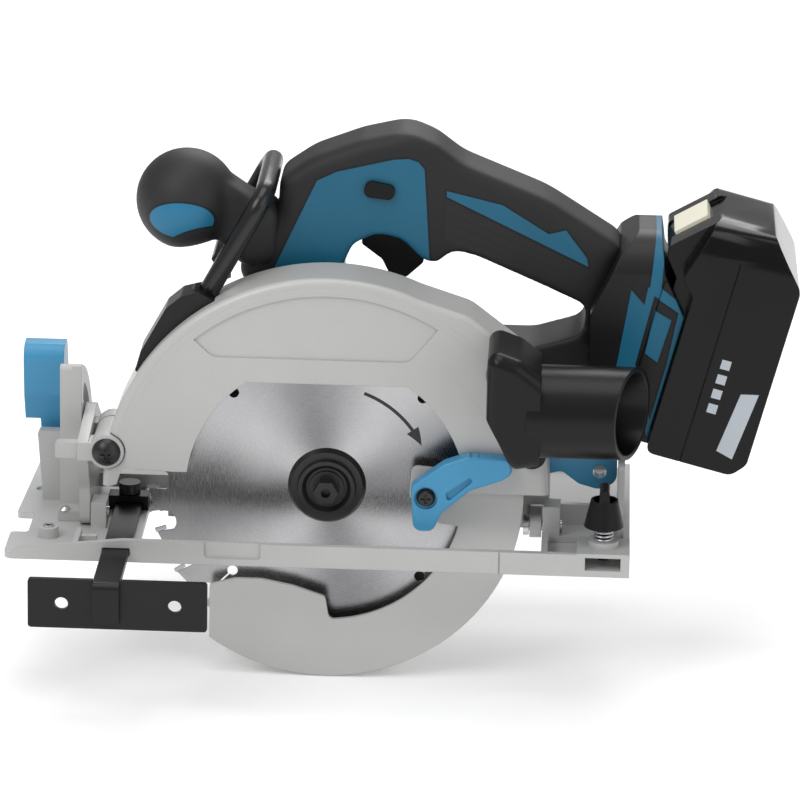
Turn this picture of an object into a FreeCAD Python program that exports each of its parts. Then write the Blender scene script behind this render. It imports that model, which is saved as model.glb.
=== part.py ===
"""Cordless circular saw with a 165 mm blade on the operator's left.

Frame: millimetres, +Z up, the front of the saw towards -X, the blade side towards -Y.
The sole is the plane z = 0, the blade turns in the plane y = 0, and x = 0 is the spindle.
"""
import FreeCAD, Part
import math
import os

# ---- blade and spindle -------------------------------------------------------------------------
BLADE_RADIUS = 82.5
BLADE_THICKNESS = 1.0
KERF = 1.5
BLADE_BORE_RADIUS = 10.0
BLADE_TEETH = 24
ARBOR_HEIGHT = 25.5
FLANGE_RADIUS = 17.9
FLANGE_THICKNESS = 4.6
SPINDLE_RADIUS = 7.0
BLADE_BOLT_ACROSS_FLATS = 10.0

# ---- base ---------------------------------------------------------------------------------------
BASE_FRONT = -144.0
BASE_REAR = 139.0
BASE_NEAR = -42.0
BASE_FAR = 102.0
SOLE_THICKNESS = 3.0
RAIL_HEIGHT = 10.5
RAIL_THICKNESS = 3.0
RAIL_NOSE_HEIGHT = 5.0
OPENING_FRONT = -84.0
OPENING_REAR = 99.0
OPENING_FAR = 29.0
NOTCH_DEPTH = 8.0
NOTCH_NEAR = -14.0
NOTCH_FAR = 12.0

# ---- bevel: the saw tilts about an axis along X just above the sole -----------------------------
BEVEL_AXIS_HEIGHT = 9.0
BEVEL_PIN_RADIUS = 2.6
BEVEL_RANGE = 50.0
QUADRANT_FRONT = -124.0
QUADRANT_REAR = -114.0
QUADRANT_PLATE = 4.0
QUADRANT_RADIUS = 67.0
QUADRANT_NEAR = 12.0
BEVEL_BOLT_REACH = 55.0
BEVEL_BOLT_ANGLE = 15.0
BEVEL_BOLT_RADIUS = 4.0
FRAME_PLATE = 5.0
BEAM_NEAR = 39.0
BEAM_WIDTH = 6.0
BEAM_LOW = 7.5
BEAM_HIGH = 14.0
REAR_ARM_FRONT = 93.2
REAR_ARM_WIDTH = 5.4

# ---- depth: the saw swings about an axis along Y at the front ----------------------------------
DEPTH_PIVOT_X = -100.0
DEPTH_PIVOT_Z = 43.0
DEPTH_PIVOT_RADIUS = 4.0
DEPTH_RING_RADIUS = 8.0
DEPTH_RANGE = 33.0
DEPTH_BOLT_X = 62.0
DEPTH_BOLT_Z = 8.5
DEPTH_BOLT_RADIUS = 3.0
DEPTH_GUIDE_HALF_WIDTH = 8.0
DEPTH_GUIDE_NEAR = 14.6
DEPTH_GUIDE_THICKNESS = 3.0

# ---- guards -------------------------------------------------------------------------------------
UPPER_GUARD_RADIUS = 102.0
UPPER_GUARD_NEAR = -13.5
UPPER_GUARD_FAR = 14.0
UPPER_GUARD_WALL = 2.5
UPPER_GUARD_RIM = 4.0
WINDOW_RADIUS = 64.0
WINDOW_TOP = 78.0
LOWER_GUARD_RADIUS = 90.2
LOWER_GUARD_WALL = 2.0
LOWER_GUARD_NEAR = -9.0
LOWER_GUARD_FAR = 10.6
LOWER_GUARD_START = -127.0
LOWER_GUARD_END = 8.0
GUARD_HUB_RADIUS = 17.0
GUARD_LEVER_REACH = 46.0

# ---- drive --------------------------------------------------------------------------------------
GEAR_MODULE = 0.8
GEAR_TEETH = 38
PINION_TEETH = 12
PRESSURE_ANGLE = 25.0
TOOTH_BACKLASH = 0.12
GEAR_NEAR = 22.0
GEAR_WIDTH = 8.0
MOTOR_AXIS_X = 6.0
GEAR_CASE_RADIUS = 20.4
GEAR_CASE_WALL = 2.4
GEAR_CASE_FAR = 38.0
MOTOR_RADIUS = 29.0
MOTOR_WALL = 2.5
MOTOR_FAR = 112.0
STATOR_RADIUS = 25.5
ROTOR_RADIUS = 12.0
SHAFT_RADIUS = 2.5

# ---- handle and battery -------------------------------------------------------------------------
HANDLE_CENTRE = 40.0
HANDLE_WIDTH = 37.0
SHELL_WALL = 3.0
TERMINAL_WIDTH = 62.0
BATTERY_WIDTH = 75.0
BATTERY_THICKNESS = 52.0
BATTERY_LENGTH = 106.0
BATTERY_SHOULDER = 18.0
HOUSING_SHOULDER = 22.0
HOUSING_TOP = 143.0
BATTERY_WALL = 2.5
BATTERY_TILT = 14.4
BATTERY_FOOT_X = 191.0
BATTERY_FOOT_Z = 38.0
CELL_RADIUS = 9.1
CELL_LENGTH = 65.0

# ---- rip guide ----------------------------------------------------------------------------------
RULE_FRONT = -99.0
RULE_WIDTH = 12.0
RULE_THICKNESS = 3.0
RULE_NEAR = -88.6
RULE_FAR = 58.0
FENCE_FRONT = -128.0
FENCE_LENGTH = 80.0
FENCE_TOP = 7.0
FENCE_DROP = 23.0

# ---- clearances ---------------------------------------------------------------------------------
RUNNING_FIT = 0.05
SIDE_GAP = 0.3
EASY_GAP = 0.6

# ---- places worked out from the sizes above ---------------------------------------------------
GEAR_RADIUS = GEAR_MODULE * GEAR_TEETH / 2
PINION_RADIUS = GEAR_MODULE * PINION_TEETH / 2
CENTRE_DISTANCE = GEAR_RADIUS + PINION_RADIUS
MOTOR_AXIS_Z = ARBOR_HEIGHT + math.sqrt(CENTRE_DISTANCE ** 2 - MOTOR_AXIS_X ** 2)
BLADE_NEAR = -BLADE_THICKNESS / 2
BLADE_FAR = BLADE_THICKNESS / 2
HANDLE_NEAR = HANDLE_CENTRE - HANDLE_WIDTH / 2
HANDLE_FAR = HANDLE_CENTRE + HANDLE_WIDTH / 2
RULE_LOW = SOLE_THICKNESS + SIDE_GAP
RULE_HIGH = RULE_LOW + RULE_THICKNESS
FRAME_FRONT = QUADRANT_REAR + EASY_GAP
FRAME_REAR = FRAME_FRONT + FRAME_PLATE
GUARD_CAVITY_RADIUS = UPPER_GUARD_RADIUS - UPPER_GUARD_RIM
DEPTH_GUIDE_FAR = DEPTH_GUIDE_NEAR + DEPTH_GUIDE_THICKNESS

vector = FreeCAD.Vector
ALONG = {"xy": vector(0, 0, 1), "xz": vector(0, 1, 0), "yz": vector(1, 0, 0)}


# ---- helpers ------------------------------------------------------------------------------------
def on_plane(plane, a, b, level):
    """A point from its two coordinates in a plane and its level along the third axis."""
    if plane == "xy":
        return vector(a, b, level)
    if plane == "xz":
        return vector(a, level, b)
    return vector(level, a, b)


def rounded_wire(corners, plane, level):
    """A closed outline from corners (a, b, radius); a radius is limited by its two sides."""
    starts, middles, ends = [], [], []
    count = len(corners)
    for index in range(count):
        a, b, radius = corners[index]
        corner = vector(a, b, 0)
        before = vector(*corners[index - 1][:2], 0) - corner
        after = vector(*corners[(index + 1) % count][:2], 0) - corner
        reach = 0.48 * min(before.Length, after.Length)
        before.normalize()
        after.normalize()
        half = math.acos(max(-1.0, min(1.0, before.dot(after)))) / 2
        if radius <= 0 or half > 1.56:
            starts.append(corner)
            middles.append(None)
            ends.append(corner)
            continue
        tangent = min(radius / math.tan(half), reach)
        radius = tangent * math.tan(half)
        bisector = (before + after).normalize()
        centre = corner + bisector * (radius / math.sin(half))
        starts.append(corner + before * tangent)
        middles.append(centre - bisector * radius)
        ends.append(corner + after * tangent)
    edges = []
    for index in range(count):
        start = on_plane(plane, starts[index].x, starts[index].y, level)
        end = on_plane(plane, ends[index].x, ends[index].y, level)
        if middles[index] is not None:
            middle = on_plane(plane, middles[index].x, middles[index].y, level)
            edges.append(Part.Arc(start, middle, end).toShape())
        following = starts[(index + 1) % count]
        onward = on_plane(plane, following.x, following.y, level)
        if (onward - end).Length > 1e-6:
            edges.append(Part.LineSegment(end, onward).toShape())
    return Part.Wire(edges)


def prism(corners, plane, low, high):
    """A solid with a rounded outline in a plane, from level low to level high."""
    face = Part.Face(rounded_wire(corners, plane, low))
    return face.extrude(ALONG[plane] * (high - low))


def box(x_low, x_high, y_low, y_high, z_low, z_high):
    return Part.makeBox(x_high - x_low, y_high - y_low, z_high - z_low, vector(x_low, y_low, z_low))


def rod(radius, plane, a, b, low, high):
    """A round bar square to a plane, centred on (a, b)."""
    return Part.makeCylinder(radius, high - low, on_plane(plane, a, b, low), ALONG[plane])


def tube(outer, inner, plane, a, b, low, high):
    return rod(outer, plane, a, b, low, high).cut(rod(inner, plane, a, b, low - 1, high + 1))


def cone(radius_low, radius_high, plane, a, b, low, high):
    return Part.makeCone(radius_low, radius_high, high - low, on_plane(plane, a, b, low), ALONG[plane])


def hexagon(across_flats, plane, a, b, low, high):
    reach = across_flats / math.sqrt(3)
    corners = []
    for step in range(6):
        angle = math.radians(60 * step)
        corners.append((a + reach * math.cos(angle), b + reach * math.sin(angle), 0))
    return prism(corners, plane, low, high)


def arc_band(plane, centre, inner, outer, start, end, low, high):
    """A band between two radii and two angles (degrees) about a centre, with square ends."""
    points = []
    for radius in (outer, inner):
        ring = []
        for angle in (start, (start + end) / 2, end):
            turn = math.radians(angle)
            a = centre[0] + radius * math.cos(turn)
            b = centre[1] + radius * math.sin(turn)
            ring.append(on_plane(plane, a, b, low))
        points.append(ring)
    outer_ring, inner_ring = points
    edges = [
        Part.Arc(*outer_ring).toShape(),
        Part.LineSegment(outer_ring[2], inner_ring[2]).toShape(),
        Part.Arc(inner_ring[2], inner_ring[1], inner_ring[0]).toShape(),
        Part.LineSegment(inner_ring[0], outer_ring[0]).toShape(),
    ]
    return Part.Face(Part.Wire(edges)).extrude(ALONG[plane] * (high - low))


def arc_slot(plane, centre, radius, half_width, start, end, low, high):
    """An arc slot with round ends."""
    slot = arc_band(plane, centre, radius - half_width, radius + half_width, start, end, low, high)
    for angle in (start, end):
        turn = math.radians(angle)
        a = centre[0] + radius * math.cos(turn)
        b = centre[1] + radius * math.sin(turn)
        slot = slot.fuse(rod(half_width, plane, a, b, low, high))
    return slot


def fillet_at(shape, radius, wanted):
    """Round the edges whose midpoint is wanted; leave the shape square if none is found."""
    edges = []
    for edge in shape.Edges:
        middle = edge.valueAt((edge.FirstParameter + edge.LastParameter) / 2)
        if wanted(middle):
            edges.append(edge)
    if not edges:
        return shape
    return shape.makeFillet(radius, edges)


def tidy(shape):
    return shape.removeSplitter()


# ---- base ---------------------------------------------------------------------------------------
RULE_CENTRE = RULE_FRONT + RULE_WIDTH / 2
REAR_SLOT_CENTRE = 127.0
REAR_SLOT_WIDTH = 16.0
CLAMP_NEAR = -30.0
CLAMP_BRIDGE_LOW = 9.0
CLAMP_BRIDGE_HIGH = 11.0
CLAMP_BOSS_HIGH = 14.0
CLAMP_SCREW_RADIUS = 2.5
ADJUST_X = -126.0
ADJUST_Y = -19.0
REAR_LUG_FRONT = 99.2
REAR_LUG_REAR = 107.0
FRONT_LUG_REAR = -101.0
LUG_HALF_WIDTH = 6.0
RULE_LUG_Y = 20.0


def base_plate():
    """The sole: a pressed plate with a blade opening, a near rail, ribs, slots and bosses."""
    outline = [
        (BASE_FRONT, BASE_NEAR, 4), (BASE_REAR, BASE_NEAR, 5), (BASE_REAR, BASE_FAR, 8),
        (BASE_FRONT + 3, BASE_FAR, 10), (BASE_FRONT, NOTCH_FAR, 2),
        (BASE_FRONT + NOTCH_DEPTH, NOTCH_FAR, 2), (BASE_FRONT + NOTCH_DEPTH, NOTCH_NEAR, 2),
        (BASE_FRONT, NOTCH_NEAR, 2),
    ]
    plate = prism(outline, "xy", 0, SOLE_THICKNESS)
    near_rail = prism([
        (BASE_FRONT + 4, 0, 0), (BASE_REAR - 3, 0, 0), (BASE_REAR - 3, RAIL_HEIGHT, 2),
        (RULE_FRONT + 9, RAIL_HEIGHT, 12), (BASE_FRONT + 4, RAIL_NOSE_HEIGHT, 2),
    ], "xz", BASE_NEAR, BASE_NEAR + RAIL_THICKNESS)
    far_rail = box(BASE_FRONT + 16, BASE_REAR - 9, BASE_FAR - 3, BASE_FAR, 0, 8)
    rear_rail = box(BASE_REAR - 3, BASE_REAR, BASE_NEAR + 6, BASE_FAR - 9, 0, 8)
    shape = plate.fuse([near_rail, far_rail, rear_rail])
    for level in (OPENING_FAR + 1, BEAM_NEAR + 22):
        shape = shape.fuse(box(OPENING_FRONT, REAR_ARM_FRONT - 3, level, level + 2.5, 0, 4.6))
    front_rib = box(RULE_FRONT - 14, RULE_FRONT - 11.5, BASE_NEAR, NOTCH_NEAR - 6, 0, 8)
    rear_rib = box(OPENING_REAR, OPENING_REAR + 3, BASE_NEAR, -9, 0, 9)
    inner_rib = box(RULE_FRONT - 14, RULE_FRONT - 4, BASE_NEAR + 14, BASE_NEAR + 17, 0, 7)
    boss = rod(4.6, "xy", ADJUST_X, ADJUST_Y, 0, 8)
    shape = shape.fuse([front_rib, rear_rib, inner_rib, boss])
    bridge = box(REAR_SLOT_CENTRE - 12, BASE_REAR, BASE_NEAR, CLAMP_NEAR + 10, 0, CLAMP_BRIDGE_HIGH)
    ring = rod(7, "xy", REAR_SLOT_CENTRE, CLAMP_NEAR, CLAMP_BRIDGE_HIGH, CLAMP_BOSS_HIGH)
    shape = shape.fuse([bridge, ring])
    opening = prism([
        (OPENING_FRONT, BASE_NEAR + 4.5, 5), (OPENING_REAR, BASE_NEAR + 4.5, 5),
        (OPENING_REAR, OPENING_FAR, 5), (OPENING_FRONT, OPENING_FAR, 5),
    ], "xy", -1, SOLE_THICKNESS + 1)
    rear_slot = box(REAR_SLOT_CENTRE - REAR_SLOT_WIDTH / 2, REAR_SLOT_CENTRE + REAR_SLOT_WIDTH / 2,
                    BASE_NEAR - 1, CLAMP_NEAR + 11, SOLE_THICKNESS, CLAMP_BRIDGE_LOW)
    front_slot = box(RULE_FRONT - SIDE_GAP, RULE_FRONT + RULE_WIDTH + SIDE_GAP,
                     BASE_NEAR - 1, BASE_NEAR + RAIL_THICKNESS + 1, SOLE_THICKNESS, RULE_HIGH + SIDE_GAP)
    pocket = box(OPENING_REAR + 6, REAR_SLOT_CENTRE - 14, BASE_NEAR + 4.5, CLAMP_NEAR + 6, -1, 4)
    clamp_hole = rod(CLAMP_SCREW_RADIUS + RUNNING_FIT, "xy", REAR_SLOT_CENTRE, CLAMP_NEAR,
                     CLAMP_BRIDGE_LOW - 1, CLAMP_BOSS_HIGH + 1)
    adjust_hole = rod(2.5, "xy", ADJUST_X, ADJUST_Y, -1, 9)
    board_hole = rod(3.0, "xy", BASE_FRONT + 8, 46, -1, SOLE_THICKNESS + 1)
    recess = prism([
        (-53, 3, 2), (-53, RAIL_HEIGHT + 1, 0), (-27.5, RAIL_HEIGHT + 1, 0), (-27.5, 3, 2),
    ], "xz", BASE_NEAR - 1, BASE_NEAR + 1)
    groove = box(80, 80.6, BASE_NEAR - 1, BASE_NEAR + 0.5, -1, RAIL_HEIGHT + 1)
    shape = shape.cut([opening, rear_slot, front_slot, pocket, clamp_hole, adjust_hole, board_hole,
                       recess, groove])
    return tidy(shape.fuse([bevel_stop_lug(), front_pivot_lug()]))


def bevel_adjust_screw():
    """The grub screw that sets the square stop, in its boss at the front."""
    screw = rod(2.5, "xy", ADJUST_X, ADJUST_Y, 1.0, 8.6)
    return screw.cut(hexagon(2.5, "xy", ADJUST_X, ADJUST_Y, 6.4, 9))


def quadrant_centre():
    return (0.0, BEVEL_AXIS_HEIGHT)


def front_quadrant():
    """The upright bevel sector: a thick near flange, a foot and an arc slot for the lock bolt."""
    centre = quadrant_centre()
    top = QUADRANT_RADIUS - 1.5 + BEVEL_AXIS_HEIGHT
    disc = rod(QUADRANT_RADIUS, "yz", *centre, QUADRANT_REAR - QUADRANT_PLATE, QUADRANT_REAR)
    limits = box(QUADRANT_FRONT, QUADRANT_REAR, QUADRANT_NEAR, QUADRANT_RADIUS, SOLE_THICKNESS, top)
    sector = disc.common(limits)
    flange = prism([
        (QUADRANT_NEAR, SOLE_THICKNESS, 0), (QUADRANT_NEAR, top, 2.5),
        (QUADRANT_NEAR + 6.5, top, 2.5), (QUADRANT_NEAR + 6.5, SOLE_THICKNESS, 0),
    ], "yz", QUADRANT_FRONT, QUADRANT_REAR)
    foot = box(QUADRANT_FRONT, QUADRANT_REAR, QUADRANT_NEAR - 10, QUADRANT_RADIUS - 6,
               SOLE_THICKNESS, SOLE_THICKNESS + 5)
    shape = sector.fuse([flange, foot])
    slot = arc_slot("yz", centre, BEVEL_BOLT_REACH, BEVEL_BOLT_RADIUS + SIDE_GAP,
                    BEVEL_BOLT_ANGLE, BEVEL_BOLT_ANGLE + BEVEL_RANGE,
                    QUADRANT_FRONT - 1, QUADRANT_REAR + 1)
    return tidy(shape.cut(slot))


def bevel_stop_lug():
    """The upright lug beside the bevel lever that carries the 45 degree stop."""
    lug = prism([
        (-134, SOLE_THICKNESS, 0), (-136.5, 37, 1.5), (-124.5, 37, 0), (-124.5, SOLE_THICKNESS, 0),
    ], "xz", 30, 36)
    return lug


def front_pivot_lug():
    """The low upright that holds the front tilt pin."""
    lug = box(FRAME_REAR + SIDE_GAP, FRONT_LUG_REAR, -LUG_HALF_WIDTH, LUG_HALF_WIDTH,
              SOLE_THICKNESS, BEVEL_AXIS_HEIGHT + LUG_HALF_WIDTH)
    hole = rod(BEVEL_PIN_RADIUS, "yz", 0, BEVEL_AXIS_HEIGHT, QUADRANT_REAR, FRONT_LUG_REAR + 1)
    return lug.cut(hole)


def rear_bracket():
    """The rear upright: pivot lug, low rib and the tall end wall, on one foot."""
    lug = box(REAR_LUG_FRONT, REAR_LUG_REAR, -LUG_HALF_WIDTH, LUG_HALF_WIDTH, SOLE_THICKNESS, 20)
    foot = box(REAR_LUG_FRONT, BASE_REAR - 3, -LUG_HALF_WIDTH, 30, SOLE_THICKNESS, SOLE_THICKNESS + 3)
    rib = box(REAR_LUG_REAR, BASE_REAR - 3, 10, 13, SOLE_THICKNESS, 16)
    wall = prism([
        (-LUG_HALF_WIDTH, SOLE_THICKNESS, 0), (-LUG_HALF_WIDTH, 14, 2), (6, 37, 6),
        (42, 37, 4), (50, SOLE_THICKNESS + 6, 4), (50, SOLE_THICKNESS, 0),
    ], "yz", BASE_REAR - 6, BASE_REAR - 3)
    hole = rod(BEVEL_PIN_RADIUS, "yz", 0, BEVEL_AXIS_HEIGHT, REAR_LUG_FRONT - 1, REAR_LUG_REAR + 1)
    shape = lug.fuse([foot, rib, wall]).cut(hole)
    return tidy(shape)


def bevel_pins():
    """The two round pins that the tilting frame turns on, fixed in the front and rear lugs."""
    front = rod(BEVEL_PIN_RADIUS, "yz", 0, BEVEL_AXIS_HEIGHT, FRAME_FRONT + 0.2, FRONT_LUG_REAR + 1)
    rear = rod(BEVEL_PIN_RADIUS, "yz", 0, BEVEL_AXIS_HEIGHT, REAR_ARM_FRONT - 1, REAR_LUG_REAR + 1)
    head = rod(4.6, "yz", 0, BEVEL_AXIS_HEIGHT, REAR_ARM_FRONT - 3, REAR_ARM_FRONT - SIDE_GAP)
    return [front, tidy(rear.fuse(head))]


def base_rivets():
    """The tilt pins, and the round-headed rivets that hold the uprights to the sole."""
    front = QUADRANT_FRONT + 2.9
    spots = [(front, 4, SOLE_THICKNESS + 5), (front, 56, SOLE_THICKNESS + 5),
             (111, 24, SOLE_THICKNESS + 3), (128, 24, SOLE_THICKNESS + 3)]
    rivets = []
    for x, y, seat in spots:
        head = Part.makeSphere(3.2, vector(x, y, seat - 1.4))
        rivets.append(head.common(box(x - 4, x + 4, y - 4, y + 4, seat, seat + 4)))
    return Part.makeCompound(bevel_pins() + rivets)


def guide_clamp_screw():
    """The rear clamp screw: a slim stem under a ribbed cone with a thumb wing."""
    x, y = REAR_SLOT_CENTRE, CLAMP_NEAR
    stem = rod(CLAMP_SCREW_RADIUS, "xy", x, y, SOLE_THICKNESS + 1.6, 24)
    head = cone(9, 6.2, "xy", x, y, 20.6, 33)
    wing = prism([
        (x - 2.6, 20.6, 0), (x - 2.2, 39, 1.5), (x + 2.2, 39, 1.5), (x + 2.6, 20.6, 0),
    ], "xz", y - 6, y + 6)
    hollow = cone(7.4, 4.8, "xy", x, y, 26.5, 34)
    return tidy(head.cut(hollow).fuse([wing, stem]))


def clamp_spring():
    """The spring under the clamp screw's head, as three closed turns."""
    turns = []
    wire_radius = 0.6
    first = CLAMP_BOSS_HIGH + wire_radius
    pitch = (20.6 - CLAMP_BOSS_HIGH - 2 * wire_radius) / 3
    for turn in range(4):
        level = first + turn * pitch
        ring = Part.makeTorus(3.9, wire_radius, vector(REAR_SLOT_CENTRE, CLAMP_NEAR, level - 0.05 * turn))
        turns.append(ring)
    return Part.makeCompound(turns)


# ---- rip guide ----------------------------------------------------------------------------------
def guide_bar():
    """The flat rule bar, bent down at its near end over the fence."""
    bar = prism([
        (RULE_NEAR, RULE_HIGH, 3), (RULE_FAR, RULE_HIGH, 0), (RULE_FAR, RULE_LOW, 0),
        (RULE_NEAR + RULE_THICKNESS, RULE_LOW, 0.4),
        (RULE_NEAR + RULE_THICKNESS, RULE_LOW - FENCE_DROP + 7, 0),
        (RULE_NEAR, RULE_LOW - FENCE_DROP + 7, 0),
    ], "yz", RULE_FRONT, RULE_FRONT + RULE_WIDTH)
    return bar


def guide_fence():
    """The fence that runs along the edge of the board, with two screw holes for a wood facing."""
    near = RULE_NEAR + RULE_THICKNESS
    rear = FENCE_FRONT + FENCE_LENGTH
    low = FENCE_TOP - FENCE_DROP
    plate = prism([
        (FENCE_FRONT, low, 1.5), (rear, low, 1.5), (rear, FENCE_TOP, 1.5), (FENCE_FRONT, FENCE_TOP, 1.5),
    ], "xz", near, near + 2.5)
    notch = box(RULE_FRONT, RULE_FRONT + RULE_WIDTH, near - 1, near + 4, RULE_LOW, FENCE_TOP + 1)
    shape = plate.cut(notch)
    for x in (FENCE_FRONT + 15, rear - 14.5):
        shape = shape.cut(rod(3.0, "xz", x, FENCE_TOP - FENCE_DROP / 2, near - 1, near + 4))
    return tidy(shape)


def rule_clamp():
    """The lug over the rule bar, inside the base, that its clamp screw bears on."""
    x_low = RULE_FRONT - 3.5
    x_high = RULE_FRONT + RULE_WIDTH + 3
    outer = box(x_low, x_high, RULE_LUG_Y, RULE_LUG_Y + 9, SOLE_THICKNESS, RULE_HIGH + 3.5)
    inner = box(RULE_FRONT - SIDE_GAP, RULE_FRONT + RULE_WIDTH + SIDE_GAP, RULE_LUG_Y - 1,
                RULE_LUG_Y + 10, SOLE_THICKNESS - 1, RULE_HIGH + SIDE_GAP)
    hole = rod(2.0 + RUNNING_FIT, "xy", RULE_CENTRE, RULE_LUG_Y + 4.5, RULE_HIGH, RULE_HIGH + 5)
    return tidy(outer.cut([inner, hole]))


def rule_clamp_screw():
    """The knurled hand screw that presses on the rule bar from above."""
    y = RULE_LUG_Y + 4.5
    stem = rod(2.0, "xy", RULE_CENTRE, y, RULE_HIGH + 0.05, RULE_HIGH + 8)
    head = rod(5.0, "xy", RULE_CENTRE, y, RULE_HIGH + 4.2, RULE_HIGH + 9)
    return head.fuse(stem)


# ---- tilting frame ------------------------------------------------------------------------------
def frame_ring_ends():
    """Near and far ends of the two eyes that hold the depth pivot."""
    return (-15.0, -3.0), (UPPER_GUARD_FAR + EASY_GAP, UPPER_GUARD_FAR + 10)


def tilt_frame():
    """The bevelling frame: front plate, two depth-pivot eyes, side beam, rear arm and depth guide."""
    near_eye, far_eye = frame_ring_ends()
    bolt_y = BEVEL_BOLT_REACH * math.cos(math.radians(BEVEL_BOLT_ANGLE))
    bolt_z = BEVEL_AXIS_HEIGHT + BEVEL_BOLT_REACH * math.sin(math.radians(BEVEL_BOLT_ANGLE))
    eye = BEVEL_AXIS_HEIGHT - SOLE_THICKNESS - 0.5
    front_plate = prism([
        (-eye, BEVEL_AXIS_HEIGHT - eye, 5), (bolt_y + 8, SOLE_THICKNESS + 0.5, 2),
        (bolt_y + 8, bolt_z + 8, 7), (28, DEPTH_PIVOT_Z + 10, 8), (near_eye[0], DEPTH_PIVOT_Z + 4, 2),
        (near_eye[0], DEPTH_PIVOT_Z - 4.5, 2), (-eye, 22, 6),
    ], "yz", FRAME_FRONT, FRAME_REAR)
    shape = front_plate
    for low, high in (near_eye, far_eye):
        ring = rod(DEPTH_RING_RADIUS, "xz", DEPTH_PIVOT_X, DEPTH_PIVOT_Z, low, high)
        arm = box(FRAME_FRONT, DEPTH_PIVOT_X, low, high, DEPTH_PIVOT_Z - 4.5, DEPTH_PIVOT_Z + 4)
        shape = shape.fuse([ring, arm])
    nose = prism([
        (QUADRANT_FRONT + 0.5, DEPTH_PIVOT_Z - 4, 1), (DEPTH_PIVOT_X, DEPTH_PIVOT_Z - 4, 0),
        (DEPTH_PIVOT_X, DEPTH_PIVOT_Z + 3.5, 0), (QUADRANT_FRONT + 0.5, DEPTH_PIVOT_Z + 3.5, 1),
    ], "xz", near_eye[0] + 1, near_eye[0] + 7)
    beam = box(FRAME_FRONT, REAR_ARM_FRONT + REAR_ARM_WIDTH, BEAM_NEAR, BEAM_NEAR + BEAM_WIDTH,
               BEAM_LOW, BEAM_HIGH)
    rear_arm = prism([
        (-eye, BEVEL_AXIS_HEIGHT - eye, 5), (BEAM_NEAR + BEAM_WIDTH, BEVEL_AXIS_HEIGHT - eye, 1),
        (BEAM_NEAR + BEAM_WIDTH, BEAM_HIGH, 1), (-eye, BEAM_HIGH, 5),
    ], "yz", REAR_ARM_FRONT, REAR_ARM_FRONT + REAR_ARM_WIDTH)
    shape = shape.fuse([nose, beam, rear_arm, depth_guide()])
    pivot_hole = rod(DEPTH_PIVOT_RADIUS + RUNNING_FIT, "xz", DEPTH_PIVOT_X, DEPTH_PIVOT_Z,
                     near_eye[0] - 1, far_eye[1] + 1)
    pin_hole = rod(BEVEL_PIN_RADIUS + RUNNING_FIT, "yz", 0, BEVEL_AXIS_HEIGHT,
                   FRAME_FRONT - 1, REAR_ARM_FRONT + REAR_ARM_WIDTH + 1)
    bolt_hole = rod(BEVEL_BOLT_RADIUS, "yz", bolt_y, bolt_z, FRAME_FRONT - 1, FRAME_REAR + 1)
    return tidy(shape.cut([pivot_hole, pin_hole, bolt_hole]))


def depth_bolt_polar():
    """Distance and angle of the depth clamp bolt, seen from the depth pivot."""
    run = DEPTH_BOLT_X - DEPTH_PIVOT_X
    rise = DEPTH_BOLT_Z - DEPTH_PIVOT_Z
    return math.hypot(run, rise), math.degrees(math.atan2(rise, run))


def depth_guide():
    """The curved, slotted plate that the depth clamp bolt slides along."""
    reach, angle = depth_bolt_polar()
    centre = (DEPTH_PIVOT_X, DEPTH_PIVOT_Z)
    spread = math.degrees((DEPTH_BOLT_RADIUS + 4) / reach)
    band = arc_band("xz", centre, reach - DEPTH_GUIDE_HALF_WIDTH, reach + DEPTH_GUIDE_HALF_WIDTH,
                    angle - spread, angle + DEPTH_RANGE + spread, DEPTH_GUIDE_NEAR, DEPTH_GUIDE_FAR)
    keep = box(0, 150, DEPTH_GUIDE_NEAR - 1, DEPTH_GUIDE_FAR + 1, SOLE_THICKNESS + 0.5, 200)
    foot = box(DEPTH_BOLT_X + 5, REAR_ARM_FRONT + REAR_ARM_WIDTH, DEPTH_GUIDE_NEAR, DEPTH_GUIDE_FAR,
               SOLE_THICKNESS + 0.5, BEAM_HIGH)
    slot = arc_slot("xz", centre, reach, DEPTH_BOLT_RADIUS + SIDE_GAP, angle, angle + DEPTH_RANGE,
                    DEPTH_GUIDE_NEAR - 1, DEPTH_GUIDE_FAR + 1)
    return band.common(keep).fuse(foot).cut(slot)


def bevel_bolt_place():
    turn = math.radians(BEVEL_BOLT_ANGLE)
    return BEVEL_BOLT_REACH * math.cos(turn), BEVEL_AXIS_HEIGHT + BEVEL_BOLT_REACH * math.sin(turn)


def bevel_lock_bolt():
    """The bolt through the quadrant's arc slot, with its head behind the front plate."""
    y, z = bevel_bolt_place()
    shank = rod(BEVEL_BOLT_RADIUS - 0.05, "yz", y, z, -136, FRAME_REAR + 0.5)
    head = rod(7, "yz", y, z, FRAME_REAR, FRAME_REAR + 4)
    return head.fuse(shank)


def bevel_lever():
    """The big blue lock lever for the bevel, on the front of the quadrant."""
    y, z = bevel_bolt_place()
    hub = rod(8.5, "yz", y, z, -136, QUADRANT_FRONT - SIDE_GAP)
    blade = prism([
        (y - 8, z + 2, 3), (y - 20, z + 30, 8), (y - 22, z + 54, 7), (y - 6, z + 55, 7),
        (y + 2, z + 28, 8), (y + 8, z + 2, 3),
    ], "yz", -143, QUADRANT_FRONT - SIDE_GAP)
    scoop = box(-150, -136, y - 30, y + 20, z - 20, z + 17)
    hole = rod(BEVEL_BOLT_RADIUS, "yz", y, z, -138, QUADRANT_FRONT + 1)
    return tidy(blade.cut(scoop).fuse(hub).cut(hole))


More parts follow.
